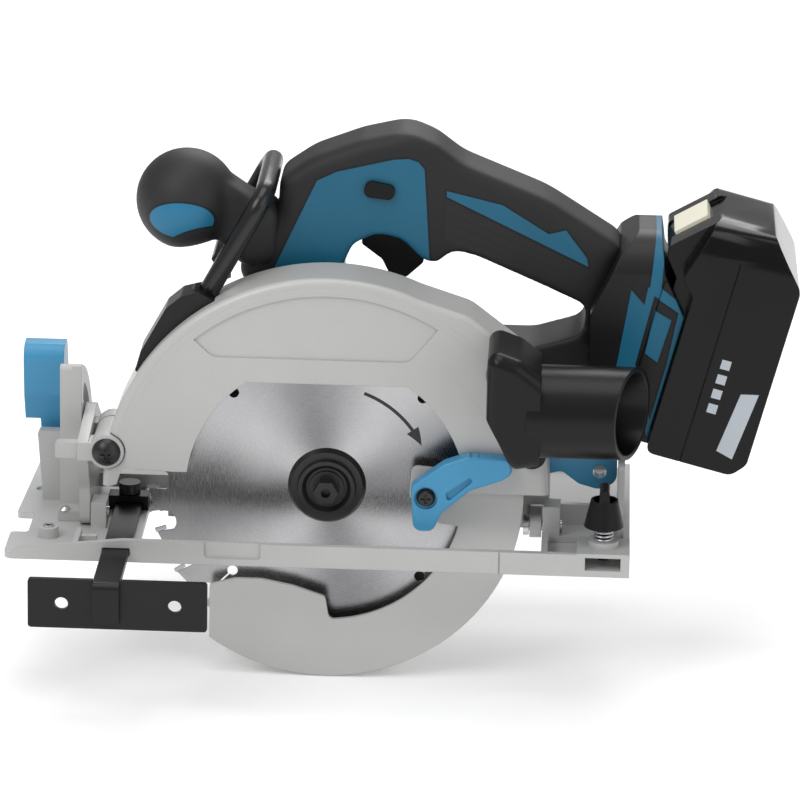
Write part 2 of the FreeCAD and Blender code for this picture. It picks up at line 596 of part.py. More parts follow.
def depth_pivot_bolt():
    """The bolt the saw swings on, with a domed head on the near side and a nut on the far side."""
    near_eye, far_eye = frame_ring_ends()
    shank = rod(DEPTH_PIVOT_RADIUS, "xz", DEPTH_PIVOT_X, DEPTH_PIVOT_Z, near_eye[0], far_eye[1] + 4)
    dome = Part.makeSphere(7.6, vector(DEPTH_PIVOT_X, near_eye[0] + 3.6, DEPTH_PIVOT_Z))
    dome = dome.common(rod(6.5, "xz", DEPTH_PIVOT_X, DEPTH_PIVOT_Z, near_eye[0] - 5, near_eye[0]))
    nut = hexagon(12, "xz", DEPTH_PIVOT_X, DEPTH_PIVOT_Z, far_eye[1], far_eye[1] + 5)
    cross = box(DEPTH_PIVOT_X - 2.4, DEPTH_PIVOT_X + 2.4, near_eye[0] - 5, near_eye[0] - 2.6,
                DEPTH_PIVOT_Z - 0.6, DEPTH_PIVOT_Z + 0.6)
    upright = box(DEPTH_PIVOT_X - 0.6, DEPTH_PIVOT_X + 0.6, near_eye[0] - 5, near_eye[0] - 2.6,
                  DEPTH_PIVOT_Z - 2.4, DEPTH_PIVOT_Z + 2.4)
    return tidy(shank.fuse([dome, nut]).cut([cross, upright]))


# ---- upper guard --------------------------------------------------------------------------------
NEAR_INSIDE = UPPER_GUARD_NEAR + UPPER_GUARD_WALL
FAR_INSIDE = UPPER_GUARD_FAR - UPPER_GUARD_WALL
GUARD_REAR = 98.0
FRONT_LOBE_LOW = 34.0
REAR_LOBE_LOW = 28.0
PORT_X = 81.0
PORT_Z = 85.0
PORT_RADIUS = 9.0
GUARD_EDGE_RADIUS = 3.2


def guard_outline(inset):
    """The rear part of the guard, where it runs out straight past its round rim."""
    return [
        (20, ARBOR_HEIGHT + 40, 0), (22, ARBOR_HEIGHT + UPPER_GUARD_RADIUS - 2.5 - inset, 0),
        (64 - 0.4 * inset, 111.5 - inset, 16), (GUARD_REAR - 11 - 0.8 * inset, 94 - 0.8 * inset, 9),
        (GUARD_REAR - inset, 62, 16), (GUARD_REAR - inset, 20, 0), (20, 20, 0),
    ]


def upper_guard():
    """The fixed guard: a flat drum with a round rim, a big window and a chip port."""
    near, far = UPPER_GUARD_NEAR, UPPER_GUARD_FAR
    disc = rod(UPPER_GUARD_RADIUS, "xz", 0, ARBOR_HEIGHT, near, far)
    disc = fillet_at(disc, GUARD_EDGE_RADIUS, lambda p: abs(p.y - near) < 0.01)
    rear = prism(guard_outline(0), "xz", near, far)
    rear = fillet_at(rear, GUARD_EDGE_RADIUS, lambda p: abs(p.y - near) < 0.01 and p.x > 21 and p.z > 21)
    shape = disc.fuse(rear)
    cavity = rod(GUARD_CAVITY_RADIUS, "xz", 0, ARBOR_HEIGHT, NEAR_INSIDE, FAR_INSIDE)
    chamber = prism(guard_outline(UPPER_GUARD_RIM), "xz", NEAR_INSIDE, FAR_INSIDE)
    window = rod(WINDOW_RADIUS, "xz", 0, ARBOR_HEIGHT, near - 1, NEAR_INSIDE + 1)
    window = window.cut(box(-100, 100, near - 2, NEAR_INSIDE + 2, WINDOW_TOP, WINDOW_TOP + 60))
    below_front = prism([
        (-70, FRONT_LOBE_LOW, 0), (-93, FRONT_LOBE_LOW + 1, 2), (-95.5, 27, 1), (-99, 26, 0),
        (-130, 26, 0), (-130, -90, 0), (-70, -90, 0),
    ], "xz", near - 1, FAR_INSIDE)
    below_middle = box(-70.5, 58, near - 1, FAR_INSIDE, -90, FRONT_LOBE_LOW)
    below_rear = box(57, 120, near - 1, FAR_INSIDE, -90, REAR_LOBE_LOW)
    far_low = SOLE_THICKNESS + 0.5
    below_far = box(-130, 130, FAR_INSIDE - 1, far + 1, -90, far_low)
    far_front = box(-130, -74, FAR_INSIDE - 1, far + 1, -90, 27)
    far_rear = box(REAR_ARM_FRONT - 1.2, 130, FAR_INSIDE - 1, far + 1, -90, BEAM_HIGH + 1)
    boss_hole = rod(GUARD_HUB_RADIUS + RUNNING_FIT, "xz", 0, ARBOR_HEIGHT, FAR_INSIDE - 1, far + 1)
    port = rod(PORT_RADIUS, "xz", PORT_X, PORT_Z, near - 1, NEAR_INSIDE + 1)
    panel = prism([
        (-72, 108, 0), (-52, 89.5, 7), (37, 89.5, 7), (60, 118, 0), (60, 140, 0), (-72, 140, 0),
    ], "xz", near - 1, near + 0.9)
    panel = panel.common(rod(UPPER_GUARD_RADIUS - 8, "xz", 0, ARBOR_HEIGHT, near - 1, near + 0.9))
    shape = shape.cut([cavity, chamber, window, below_front, below_middle, below_rear, below_far,
                       far_front, far_rear, boss_hole, port, panel, hook_socket()])
    barrel_near = frame_ring_ends()[0][1] + SIDE_GAP
    barrel = rod(7.6, "xz", DEPTH_PIVOT_X, DEPTH_PIVOT_Z, barrel_near, far + SIDE_GAP)
    ring_room = rod(DEPTH_RING_RADIUS + EASY_GAP, "xz", DEPTH_PIVOT_X, DEPTH_PIVOT_Z,
                    near - 2, barrel_near)
    pivot_hole = rod(DEPTH_PIVOT_RADIUS + RUNNING_FIT, "xz", DEPTH_PIVOT_X, DEPTH_PIVOT_Z, near, far + 2)
    bolt_hole = rod(DEPTH_BOLT_RADIUS, "xz", DEPTH_BOLT_X, DEPTH_BOLT_Z, FAR_INSIDE - 1, far + 1)
    frame_room = box(-130, DEPTH_PIVOT_X - 2, near - 2, far + 2, 20, DEPTH_PIVOT_Z - 1)
    shape = shape.cut([ring_room, frame_room]).fuse(barrel).cut([pivot_hole, bolt_hole])
    return tidy(shape)


# ---- lower guard --------------------------------------------------------------------------------
LOWER_GUARD_HUB = 26.0
CRESCENT_RADIUS = 62.5
LOWER_FRONT_X = -53.0
LEVER_X = GUARD_LEVER_REACH
LEVER_Z = ARBOR_HEIGHT + 2.5
LEVER_NEAR = -22.0
LEVER_FAR = -14.6


def guard_nose_outline():
    """The front of the near crescent: a low hump that ends in a step down to the crescent."""
    return [
        (LOWER_FRONT_X, -80, 0), (LOWER_FRONT_X, -21.6, 2), (-41, -18.4, 12), (-29, -18.4, 16),
        (-14.5, -21.2, 20), (0.2, -26, 2), (2, -36, 3), (9, -39, 0), (9, -80, 0),
    ]


def lower_guard():
    """The swinging guard: a far wall on the bearing boss, an outer rim and a near crescent."""
    centre = (0, ARBOR_HEIGHT)
    near, far = LOWER_GUARD_NEAR, LOWER_GUARD_FAR
    rim = arc_band("xz", centre, LOWER_GUARD_RADIUS - 2.6, LOWER_GUARD_RADIUS,
                   LOWER_GUARD_START, LOWER_GUARD_END, near, far)
    wall = arc_band("xz", centre, 10, LOWER_GUARD_RADIUS, LOWER_GUARD_START, LOWER_GUARD_END,
                    far - LOWER_GUARD_WALL, far)
    hub = rod(LOWER_GUARD_HUB, "xz", *centre, far - LOWER_GUARD_WALL, far)
    crescent = arc_band("xz", centre, CRESCENT_RADIUS, LOWER_GUARD_RADIUS, LOWER_GUARD_START,
                        LOWER_GUARD_END, near, near + LOWER_GUARD_WALL)
    disc = rod(LOWER_GUARD_RADIUS, "xz", *centre, near, near + LOWER_GUARD_WALL)
    nose = prism(guard_nose_outline(), "xz", near, near + LOWER_GUARD_WALL).common(disc)
    arm = prism([
        (LEVER_X - 8, LEVER_Z - 4, 4), (LEVER_X + 4, LEVER_Z - 16, 5),
        (CRESCENT_RADIUS + 4, ARBOR_HEIGHT - 16, 0), (CRESCENT_RADIUS + 6, ARBOR_HEIGHT + 6, 0),
        (LEVER_X + 4, LEVER_Z + 10, 6), (LEVER_X - 7, LEVER_Z + 11, 3),
    ], "xz", near, near + LOWER_GUARD_WALL)
    shape = rim.fuse([wall, hub, crescent, nose, arm])
    front_cut = box(-120, LOWER_FRONT_X, near - 1, far + 1, -80, ARBOR_HEIGHT - 40)
    bore = rod(GUARD_HUB_RADIUS + RUNNING_FIT, "xz", *centre, near, far + 1)
    screw_hole = rod(2.0, "xz", LEVER_X, LEVER_Z, near - 1, near + LOWER_GUARD_WALL + 1)
    return tidy(shape.cut([front_cut, bore, screw_hole]))


def guard_lever():
    """The curved thumb lever on the lower guard, with grip ridges and a lightening slot."""
    dx = LEVER_X - 46
    dz = LEVER_Z - 28
    outline = [
        (39, 33, 4), (40.5, 12, 4), (49.5, 12, 4), (53, 20.5, 5), (66, 32, 10), (81, 37.5, 5),
        (85, 41, 3), (83.5, 47.5, 3), (65, 48.5, 10), (54, 44.5, 8),
    ]
    placed = [(x + dx, z + dz, radius) for x, z, radius in outline]
    shape = prism(placed, "xz", LEVER_NEAR, LEVER_FAR)
    shape = fillet_at(shape, 1.2, lambda p: abs(p.y - LEVER_NEAR) < 0.01)
    boss = rod(5.0, "xz", LEVER_X, LEVER_Z, LEVER_FAR - 1, LOWER_GUARD_NEAR)
    shape = shape.fuse(boss)
    for step in range(5):
        x = 66.5 + dx + 3.6 * step
        shape = shape.cut(rod(0.9, "xz", x, 48.7 + dz, LEVER_NEAR - 1, LEVER_FAR + 1))
    slot = prism([
        (55 + dx, 30.5 + dz, 1), (56 + dx, 26.5 + dz, 1), (67 + dx, 36.5 + dz, 1), (66 + dx, 38.5 + dz, 1),
    ], "xz", LEVER_NEAR - 1, LEVER_NEAR + 1.6)
    recess = rod(5.2, "xz", LEVER_X, LEVER_Z, LEVER_NEAR - 1, LEVER_NEAR + 1.4)
    hole = rod(2.0, "xz", LEVER_X, LEVER_Z, LEVER_NEAR - 1, LOWER_GUARD_NEAR + 1)
    return tidy(shape.cut([slot, recess, hole]))


def guard_lever_screw():
    """The cross-head screw that ties the lever to the lower guard."""
    seat = LEVER_NEAR + 1.4
    head = cone(3.2, 4.4, "xz", LEVER_X, LEVER_Z, seat - 2.4, seat)
    shank = rod(2.0, "xz", LEVER_X, LEVER_Z, seat - 0.5, LOWER_GUARD_NEAR + LOWER_GUARD_WALL)
    across = box(LEVER_X - 2.2, LEVER_X + 2.2, seat - 3, seat - 1.4, LEVER_Z - 0.5, LEVER_Z + 0.5)
    upright = box(LEVER_X - 0.5, LEVER_X + 0.5, seat - 3, seat - 1.4, LEVER_Z - 2.2, LEVER_Z + 2.2)
    return tidy(head.fuse(shank).cut([across, upright]))


def guard_spring():
    """The return spring's turns round the boss, between the two guards' far walls."""
    level = (LOWER_GUARD_FAR + FAR_INSIDE) / 2
    turns = []
    for radius in (GUARD_HUB_RADIUS + 1.0, GUARD_HUB_RADIUS + 2.2):
        turns.append(Part.makeTorus(radius, 0.35, vector(0, level, ARBOR_HEIGHT), vector(0, 1, 0)))
    return Part.makeCompound(turns)


# ---- blade and spindle --------------------------------------------------------------------------
def polar(radius, degrees):
    turn = math.radians(degrees)
    return radius * math.cos(turn), ARBOR_HEIGHT + radius * math.sin(turn)


TIP_PHASE = 3.0
SLOT_REACH = 61.0


def saw_blade():
    """The blade: round-bottomed gullets, hooked teeth, four expansion slots and the bore."""
    pitch = 360.0 / BLADE_TEETH
    edges = []
    for tooth in range(BLADE_TEETH):
        start = TIP_PHASE + tooth * pitch
        marks = [(0.6, 0), (1.6, 0.33), (4.6, 0.56), (10.6, 0.80), (8.0, 1.05), (0.6, 1.0)]
        points = []
        for depth, share in marks:
            x, z = polar(BLADE_RADIUS - depth, start + share * pitch)
            points.append(vector(x, -BLADE_THICKNESS / 2, z))
        edges.append(Part.LineSegment(points[0], points[1]).toShape())
        edges.append(Part.LineSegment(points[1], points[2]).toShape())
        edges.append(Part.Arc(points[2], points[3], points[4]).toShape())
        edges.append(Part.LineSegment(points[4], points[5]).toShape())
    body = Part.Face(Part.Wire(edges)).extrude(vector(0, BLADE_THICKNESS, 0))
    cuts = [rod(BLADE_BORE_RADIUS, "xz", 0, ARBOR_HEIGHT, -2, 2)]
    for quarter in range(4):
        angle = 45 + 90 * quarter
        x, z = polar(SLOT_REACH, angle)
        cuts.append(rod(2.4, "xz", x, z, -2, 2))
        slit = box(SLOT_REACH, BLADE_RADIUS, -2, 2, ARBOR_HEIGHT - 0.4, ARBOR_HEIGHT + 0.4)
        slit.rotate(vector(0, 0, ARBOR_HEIGHT), vector(0, -1, 0), angle)
        cuts.append(slit)
    return tidy(body.cut(cuts))


def carbide_tips():
    """The carbide tips, brazed to the leading faces of the teeth."""
    pitch = 360.0 / BLADE_TEETH
    tips = []
    for tooth in range(BLADE_TEETH):
        tip = box(BLADE_RADIUS - 5.2, BLADE_RADIUS, -KERF / 2, KERF / 2,
                  ARBOR_HEIGHT - 1.7, ARBOR_HEIGHT - 0.05)
        tip.rotate(vector(0, 0, ARBOR_HEIGHT), vector(0, -1, 0), TIP_PHASE + tooth * pitch)
        tips.append(tip)
    return Part.makeCompound(tips)


INNER_FLANGE_THICKNESS = 4.5
SPINDLE_NEAR = BLADE_NEAR - 1.6
SPINDLE_FAR = 37.0
NEAR_BEARING_RADIUS = 14.0
NEAR_BEARING_LOW = 8.4
NEAR_BEARING_WIDTH = 8.0
FAR_BEARING_RADIUS = 10.0
FAR_BEARING_LOW = 31.0
FAR_BEARING_WIDTH = 6.0
FAR_JOURNAL_RADIUS = 4.0
BOLT_SHANK_RADIUS = 2.9
COLLAR_RADIUS = 9.0
COLLAR_NEAR = 17.2
COLLAR_WIDTH = 4.6


def lock_collar():
    """The collar that the shaft lock pin drops into, through one of four radial holes."""
    collar = rod(COLLAR_RADIUS, "xz", 0, ARBOR_HEIGHT, COLLAR_NEAR, COLLAR_NEAR + COLLAR_WIDTH)
    middle = COLLAR_NEAR + COLLAR_WIDTH / 2
    for along in (vector(1, 0, 0), vector(0, 0, 1)):
        for side in (-1, 1):
            mouth = vector(0, middle, ARBOR_HEIGHT) + along * (side * (COLLAR_RADIUS + 1))
            collar = collar.cut(Part.makeCylinder(1.7, 3.5, mouth, along * -side))
    return collar


def spindle():
    """The spindle: blade pilot, bearing journal, lock collar, gear seat and far journal."""
    pilot = rod(SPINDLE_RADIUS, "xz", 0, ARBOR_HEIGHT, SPINDLE_NEAR, COLLAR_NEAR + 1)
    seat = rod(SPINDLE_RADIUS, "xz", 0, ARBOR_HEIGHT, COLLAR_NEAR + COLLAR_WIDTH - 1, GEAR_NEAR + GEAR_WIDTH)
    journal = rod(FAR_JOURNAL_RADIUS, "xz", 0, ARBOR_HEIGHT, GEAR_NEAR + GEAR_WIDTH, SPINDLE_FAR)
    thread = rod(BOLT_SHANK_RADIUS, "xz", 0, ARBOR_HEIGHT, SPINDLE_NEAR - 1, SPINDLE_NEAR + 13)
    return tidy(lock_collar().fuse([pilot, seat, journal]).cut(thread))


def inner_flange():
    """The flange behind the blade, with the raised pilot that the blade's bore sits on."""
    low = BLADE_FAR
    plate = rod(FLANGE_RADIUS, "xz", 0, ARBOR_HEIGHT, low, low + INNER_FLANGE_THICKNESS)
    pilot = rod(BLADE_BORE_RADIUS - RUNNING_FIT, "xz", 0, ARBOR_HEIGHT, BLADE_NEAR, low)
    relief = tube(13, BLADE_BORE_RADIUS + 1, "xz", 0, ARBOR_HEIGHT, low - 0.01, low + 0.6)
    bore = rod(SPINDLE_RADIUS, "xz", 0, ARBOR_HEIGHT, BLADE_NEAR - 1, low + 20)
    return tidy(plate.fuse(pilot).cut([relief, bore]))


def outer_flange():
    """The near flange: a wide rim round a raised ring, with flats for the spindle's end."""
    high = BLADE_NEAR
    rim = cone(FLANGE_RADIUS - 1.5, FLANGE_RADIUS, "xz", 0, ARBOR_HEIGHT, high - 2.8, high)
    ring = cone(13.0, 13.8, "xz", 0, ARBOR_HEIGHT, high - FLANGE_THICKNESS - 1, high - 1)
    low = high - FLANGE_THICKNESS
    dish = cone(11.2, 9.4, "xz", 0, ARBOR_HEIGHT, low - 1.01, low + 1)
    bore = rod(SPINDLE_RADIUS, "xz", 0, ARBOR_HEIGHT, high - 1.62, high + 1)
    hole = rod(3.1, "xz", 0, ARBOR_HEIGHT, high - 20, high + 1)
    return tidy(rim.fuse(ring).cut([dish, bore, hole]))


def blade_bolt():
    """The hexagon bolt that clamps the blade, with its washer face."""
    seat = BLADE_NEAR - FLANGE_THICKNESS + 1
    head = hexagon(BLADE_BOLT_ACROSS_FLATS, "xz", 0, ARBOR_HEIGHT, seat - 8.5, seat - 1.4)
    washer = rod(8.0, "xz", 0, ARBOR_HEIGHT, seat - 1.4, seat)
    shank = rod(BOLT_SHANK_RADIUS, "xz", 0, ARBOR_HEIGHT, seat - 1, SPINDLE_NEAR + 13)
    socket = rod(2.2, "xz", 0, ARBOR_HEIGHT, seat - 9, seat - 5)
    return tidy(head.fuse([washer, shank]).cut(socket))


def spindle_bearings():
    near = tube(NEAR_BEARING_RADIUS, SPINDLE_RADIUS + RUNNING_FIT, "xz", 0, ARBOR_HEIGHT,
                NEAR_BEARING_LOW, NEAR_BEARING_LOW + NEAR_BEARING_WIDTH)
    far = tube(FAR_BEARING_RADIUS, FAR_JOURNAL_RADIUS + RUNNING_FIT, "xz", 0, ARBOR_HEIGHT,
               FAR_BEARING_LOW, FAR_BEARING_LOW + FAR_BEARING_WIDTH)
    return [near, far]


def involute_gear(teeth, centre, phase, low, high, bore):
    """A spur gear with involute flanks; phase is the angle (degrees) of one tooth's middle."""
    pitch_radius = GEAR_MODULE * teeth / 2
    base_radius = pitch_radius * math.cos(math.radians(PRESSURE_ANGLE))
    tip_radius = pitch_radius + 0.95 * GEAR_MODULE
    root_radius = pitch_radius - 1.2 * GEAR_MODULE
    at_pitch = math.tan(math.radians(PRESSURE_ANGLE)) - math.radians(PRESSURE_ANGLE)
    half_tooth = math.pi / (2 * teeth) - TOOTH_BACKLASH / (2 * pitch_radius)
    flank = []
    for step in range(5):
        radius = max(base_radius, root_radius) + step * (tip_radius - max(base_radius, root_radius)) / 4
        lean = math.sqrt(max(0.0, (radius / base_radius) ** 2 - 1))
        flank.append((radius, half_tooth + at_pitch - (lean - math.atan(lean))))
    points = []
    for tooth in range(teeth):
        middle = math.radians(phase) + tooth * 2 * math.pi / teeth
        rising = [(root_radius, -flank[0][1])] + [(radius, -angle) for radius, angle in flank]
        falling = [(radius, angle) for radius, angle in reversed(flank)] + [(root_radius, flank[0][1])]
        for radius, angle in rising + falling:
            a = centre[0] + radius * math.cos(middle + angle)
            b = centre[1] + radius * math.sin(middle + angle)
            points.append(vector(a, low, b))
    points.append(points[0])
    blank = Part.Face(Part.makePolygon(points)).extrude(vector(0, high - low, 0))
    return blank.cut(rod(bore, "xz", *centre, low - 1, high + 1))


def mesh_line_angle():
    """The angle of the line from the spindle to the motor axis."""
    return math.degrees(math.atan2(MOTOR_AXIS_Z - ARBOR_HEIGHT, MOTOR_AXIS_X))


def driven_gear():
    return involute_gear(GEAR_TEETH, (0, ARBOR_HEIGHT), mesh_line_angle(), GEAR_NEAR,
                         GEAR_NEAR + GEAR_WIDTH, SPINDLE_RADIUS)


def pinion():
    phase = mesh_line_angle() + 180 + 180.0 / PINION_TEETH
    return involute_gear(PINION_TEETH, (MOTOR_AXIS_X, MOTOR_AXIS_Z), phase, GEAR_NEAR - 0.5,
                         GEAR_NEAR + GEAR_WIDTH + 0.3, SHAFT_RADIUS)


# ---- motor --------------------------------------------------------------------------------------
STATOR_NEAR = 52.0
STATOR_FAR = 84.0
FAN_NEAR = 91.0
FAN_FAR = 101.0
SMALL_BEARING_RADIUS = 8.0
SMALL_BEARING_WIDTH = 5.0
FRONT_BEARING_LOW = 32.0
REAR_BEARING_LOW = 104.0


def rotor_shaft():
    return rod(SHAFT_RADIUS, "xz", MOTOR_AXIS_X, MOTOR_AXIS_Z, GEAR_NEAR - 1, REAR_BEARING_LOW + 6)


def rotor_core():
    """The rotor's magnet drum."""
    return tube(ROTOR_RADIUS, SHAFT_RADIUS, "xz", MOTOR_AXIS_X, MOTOR_AXIS_Z,
                STATOR_NEAR - 1, STATOR_FAR + 1)


def stator():
    """The laminated stator with six coils between its teeth."""
    core = tube(STATOR_RADIUS, ROTOR_RADIUS + 0.5, "xz", MOTOR_AXIS_X, MOTOR_AXIS_Z,
                STATOR_NEAR, STATOR_FAR)
    ends = tube(STATOR_RADIUS - 3.5, ROTOR_RADIUS + 2, "xz", MOTOR_AXIS_X, MOTOR_AXIS_Z,
                STATOR_NEAR - 5, STATOR_FAR + 5)
    gaps = []
    for step in range(6):
        turn = math.radians(60 * step)
        a = MOTOR_AXIS_X + 17.5 * math.cos(turn)
        b = MOTOR_AXIS_Z + 17.5 * math.sin(turn)
        gaps.append(rod(1.6, "xz", a, b, STATOR_NEAR - 6, STATOR_FAR + 6))
    return tidy(core.fuse(ends).cut(gaps))


def cooling_fan():
    """The fan: a hub, a disc and thin radial blades."""
    hub = tube(7, SHAFT_RADIUS, "xz", MOTOR_AXIS_X, MOTOR_AXIS_Z, FAN_NEAR, FAN_FAR)
    disc = tube(23.5, SHAFT_RADIUS, "xz", MOTOR_AXIS_X, MOTOR_AXIS_Z, FAN_NEAR, FAN_NEAR + 1.6)
    blades = []
    for step in range(12):
        blade = box(6, 23, FAN_NEAR, FAN_FAR, -0.6, 0.6)
        blade.rotate(vector(0, 0, 0), vector(0, 1, 0), 30 * step)
        blade.translate(vector(MOTOR_AXIS_X, 0, MOTOR_AXIS_Z))
        blades.append(blade)
    return tidy(hub.fuse([disc] + blades))


def rotor_bearings():
    rings = []
    for low in (FRONT_BEARING_LOW, REAR_BEARING_LOW):
        rings.append(tube(SMALL_BEARING_RADIUS, SHAFT_RADIUS + RUNNING_FIT, "xz", MOTOR_AXIS_X,
                          MOTOR_AXIS_Z, low, low + SMALL_BEARING_WIDTH))
    return rings


def ball_bearings():
    """The four ball bearings of the spindle and the motor shaft, each as one ring."""
    return Part.makeCompound(spindle_bearings() + rotor_bearings())


def gear_case():
    """The metal gear case: guard plate, bearing boss, gear chamber and motor flange."""
    near = UPPER_GUARD_FAR
    plate = prism([
        (-44, 30, 8), (-16, 8, 8), (18, 6, 8), (42, 26, 8), (42, 78, 10), (34, 112, 8),
        (-26, 112, 8), (-44, 92, 8),
    ], "xz", near, near + 3)
    drum = rod(GEAR_CASE_RADIUS, "xz", 0, ARBOR_HEIGHT, near, GEAR_CASE_FAR)
    flange = rod(MOTOR_RADIUS, "xz", MOTOR_AXIS_X, MOTOR_AXIS_Z, GEAR_CASE_FAR - 8, GEAR_CASE_FAR)
    neck = rod(MOTOR_RADIUS - 9, "xz", MOTOR_AXIS_X, MOTOR_AXIS_Z, near, GEAR_CASE_FAR)
    boss = rod(GUARD_HUB_RADIUS, "xz", 0, ARBOR_HEIGHT, LOWER_GUARD_FAR - LOWER_GUARD_WALL - 0.7, near)
    middle = COLLAR_NEAR + COLLAR_WIDTH / 2
    lock_boss = Part.makeCylinder(4.6, 14, vector(-30, middle, ARBOR_HEIGHT), vector(1, 0, 0))
    shape = plate.fuse([drum, flange, neck, boss, lock_boss])
    chamber_far = GEAR_NEAR + GEAR_WIDTH + 0.8
    low = LOWER_GUARD_FAR - LOWER_GUARD_WALL - 1
    cuts = [
        rod(SPINDLE_RADIUS + 2, "xz", 0, ARBOR_HEIGHT, low, chamber_far),
        rod(NEAR_BEARING_RADIUS, "xz", 0, ARBOR_HEIGHT, NEAR_BEARING_LOW,
            NEAR_BEARING_LOW + NEAR_BEARING_WIDTH),
        rod(GEAR_CASE_RADIUS - GEAR_CASE_WALL, "xz", 0, ARBOR_HEIGHT, COLLAR_NEAR - 0.6, chamber_far),
        rod(FAR_BEARING_RADIUS, "xz", 0, ARBOR_HEIGHT, chamber_far - 1, FAR_BEARING_LOW + FAR_BEARING_WIDTH),
        rod(PINION_RADIUS + 2, "xz", MOTOR_AXIS_X, MOTOR_AXIS_Z, GEAR_NEAR - 2, chamber_far),
        rod(SHAFT_RADIUS + 1, "xz", MOTOR_AXIS_X, MOTOR_AXIS_Z, GEAR_NEAR - 2, GEAR_CASE_FAR + 1),
        rod(SMALL_BEARING_RADIUS, "xz", MOTOR_AXIS_X, MOTOR_AXIS_Z, FRONT_BEARING_LOW, GEAR_CASE_FAR + 1),
        Part.makeCylinder(2.0 + RUNNING_FIT, 24, vector(-31, middle, ARBOR_HEIGHT), vector(1, 0, 0)),
        box(-50, -30, near - 1, near + 4, ARBOR_HEIGHT - 6, ARBOR_HEIGHT + 6),
    ]
    return tidy(shape.cut(cuts))


LOCK_TRAVEL = 3.0


def shaft_lock():
    """The spring-loaded lock: a pin with a round push button in front of the gear case."""
    middle = COLLAR_NEAR + COLLAR_WIDTH / 2
    tip = -COLLAR_RADIUS - LOCK_TRAVEL + 1.8
    pin = Part.makeCylinder(1.5, 33.5 + tip, vector(-33.5, middle, ARBOR_HEIGHT), vector(1, 0, 0))
    collar = Part.makeCylinder(2.0, 10, vector(-33.5, middle, ARBOR_HEIGHT), vector(1, 0, 0))
    button = Part.makeCylinder(4.6, 4, vector(-37.5, middle, ARBOR_HEIGHT), vector(1, 0, 0))
    return tidy(pin.fuse([collar, button]))


def motor_housing():
    """The round motor can behind the gear case."""
    near = GEAR_CASE_FAR
    can = rod(MOTOR_RADIUS, "xz", MOTOR_AXIS_X, MOTOR_AXIS_Z, near, MOTOR_FAR)
    hollow = rod(MOTOR_RADIUS - MOTOR_WALL, "xz", MOTOR_AXIS_X, MOTOR_AXIS_Z, near - 1, MOTOR_FAR + 1)
    seat = tube(MOTOR_RADIUS - MOTOR_WALL, STATOR_RADIUS, "xz", MOTOR_AXIS_X, MOTOR_AXIS_Z,
                STATOR_NEAR + 4, STATOR_FAR - 4)
    return tidy(can.cut(hollow).fuse(seat))


def motor_end_cover():
    """The motor's end cap, with a ring of vent slots and the rear bearing's seat."""
    cap = rod(MOTOR_RADIUS, "xz", MOTOR_AXIS_X, MOTOR_AXIS_Z, MOTOR_FAR, MOTOR_FAR + 4)
    cap = fillet_at(cap, 2.5, lambda p: p.y > MOTOR_FAR + 3.9)
    post = rod(SMALL_BEARING_RADIUS + 2.5, "xz", MOTOR_AXIS_X, MOTOR_AXIS_Z,
               REAR_BEARING_LOW - 0.5, MOTOR_FAR)
    seat = rod(SMALL_BEARING_RADIUS, "xz", MOTOR_AXIS_X, MOTOR_AXIS_Z, REAR_BEARING_LOW - 1, MOTOR_FAR - 1)
    slots = []
    for step in range(8):
        slots.append(arc_slot("xz", (MOTOR_AXIS_X, MOTOR_AXIS_Z), 19, 1.6, 45 * step + 8,
                              45 * step + 36, MOTOR_FAR - 1, MOTOR_FAR + 5))
    return tidy(cap.fuse(post).cut([seat] + slots))


# ---- handle -------------------------------------------------------------------------------------
BODY_LOW = MOTOR_AXIS_Z + MOTOR_RADIUS + 1.0
SHELL_REAR = 118.0
TRIGGER_PIVOT = (18.0, 146.0)
TRIGGER_NEAR = HANDLE_CENTRE - 6.5
TRIGGER_FAR = HANDLE_CENTRE + 6.5
HOUSING_SCREWS = [(-33, 118), (-2, 166), (52, 166), (100, 141), (62, 81), (-32, 84)]


def handle_outline():
    """The side view of the body: nose, arched handle, rear leg and the bar over the motor."""
    return [
        (-40, BODY_LOW, 0), (-40, 112, 4), (-44.5, 120, 4), (-25, 150, 4), (-25, 163, 5),
        (0, 178.5, 30), (30, 187, 30), (46, 181, 14), (58, 172.5, 20), (97, 157, 60), (131, 135, 5),
        (SHELL_REAR, 108, 0), (SHELL_REAR, BODY_LOW, 0),
    ]


def finger_gap_outline():
    return [
        (6, 88, 5), (4, 122, 4), (9, 135, 6), (20, 139.5, 8), (31, 137, 6), (42, 127, 4), (48, 126, 4),
        (55, 132.5, 5), (66, 129.5, 10), (95, 117, 30), (115.5, 108, 4), (114.5, 94, 6), (92, 88, 12),
    ]


def handle_cavities(low, high):
    """The hollows inside the two shells: nose and front leg, grip, and the bar over the motor."""
    front = prism([
        (-36, BODY_LOW + SHELL_WALL, 2), (-36, 112, 3), (-40, 120, 2), (-21, 150, 3), (-21, 160, 3),
        (2, 173.5, 20), (30, 181.5, 20), (43, 176.5, 8), (43, 145, 4), (4, 141, 6), (-1, 122, 4),
        (1, BODY_LOW + SHELL_WALL, 2),
    ], "xz", low, high)
    grip = prism([
        (40, 145, 0), (40, 177, 0), (55, 168.5, 14), (95, 152, 40), (122, 134, 3), (114, 118, 3),
        (66, 134, 10), (52, 138, 4),
    ], "xz", low, high)
    bar = prism([
        (0, BODY_LOW + 2.5, 1), (SHELL_REAR - 3, BODY_LOW + 2.5, 1), (SHELL_REAR - 3, 90, 1),
        (92, 84.5, 4), (0, 84.5, 1),
    ], "xz", low, high)
    return front.fuse([grip, bar])


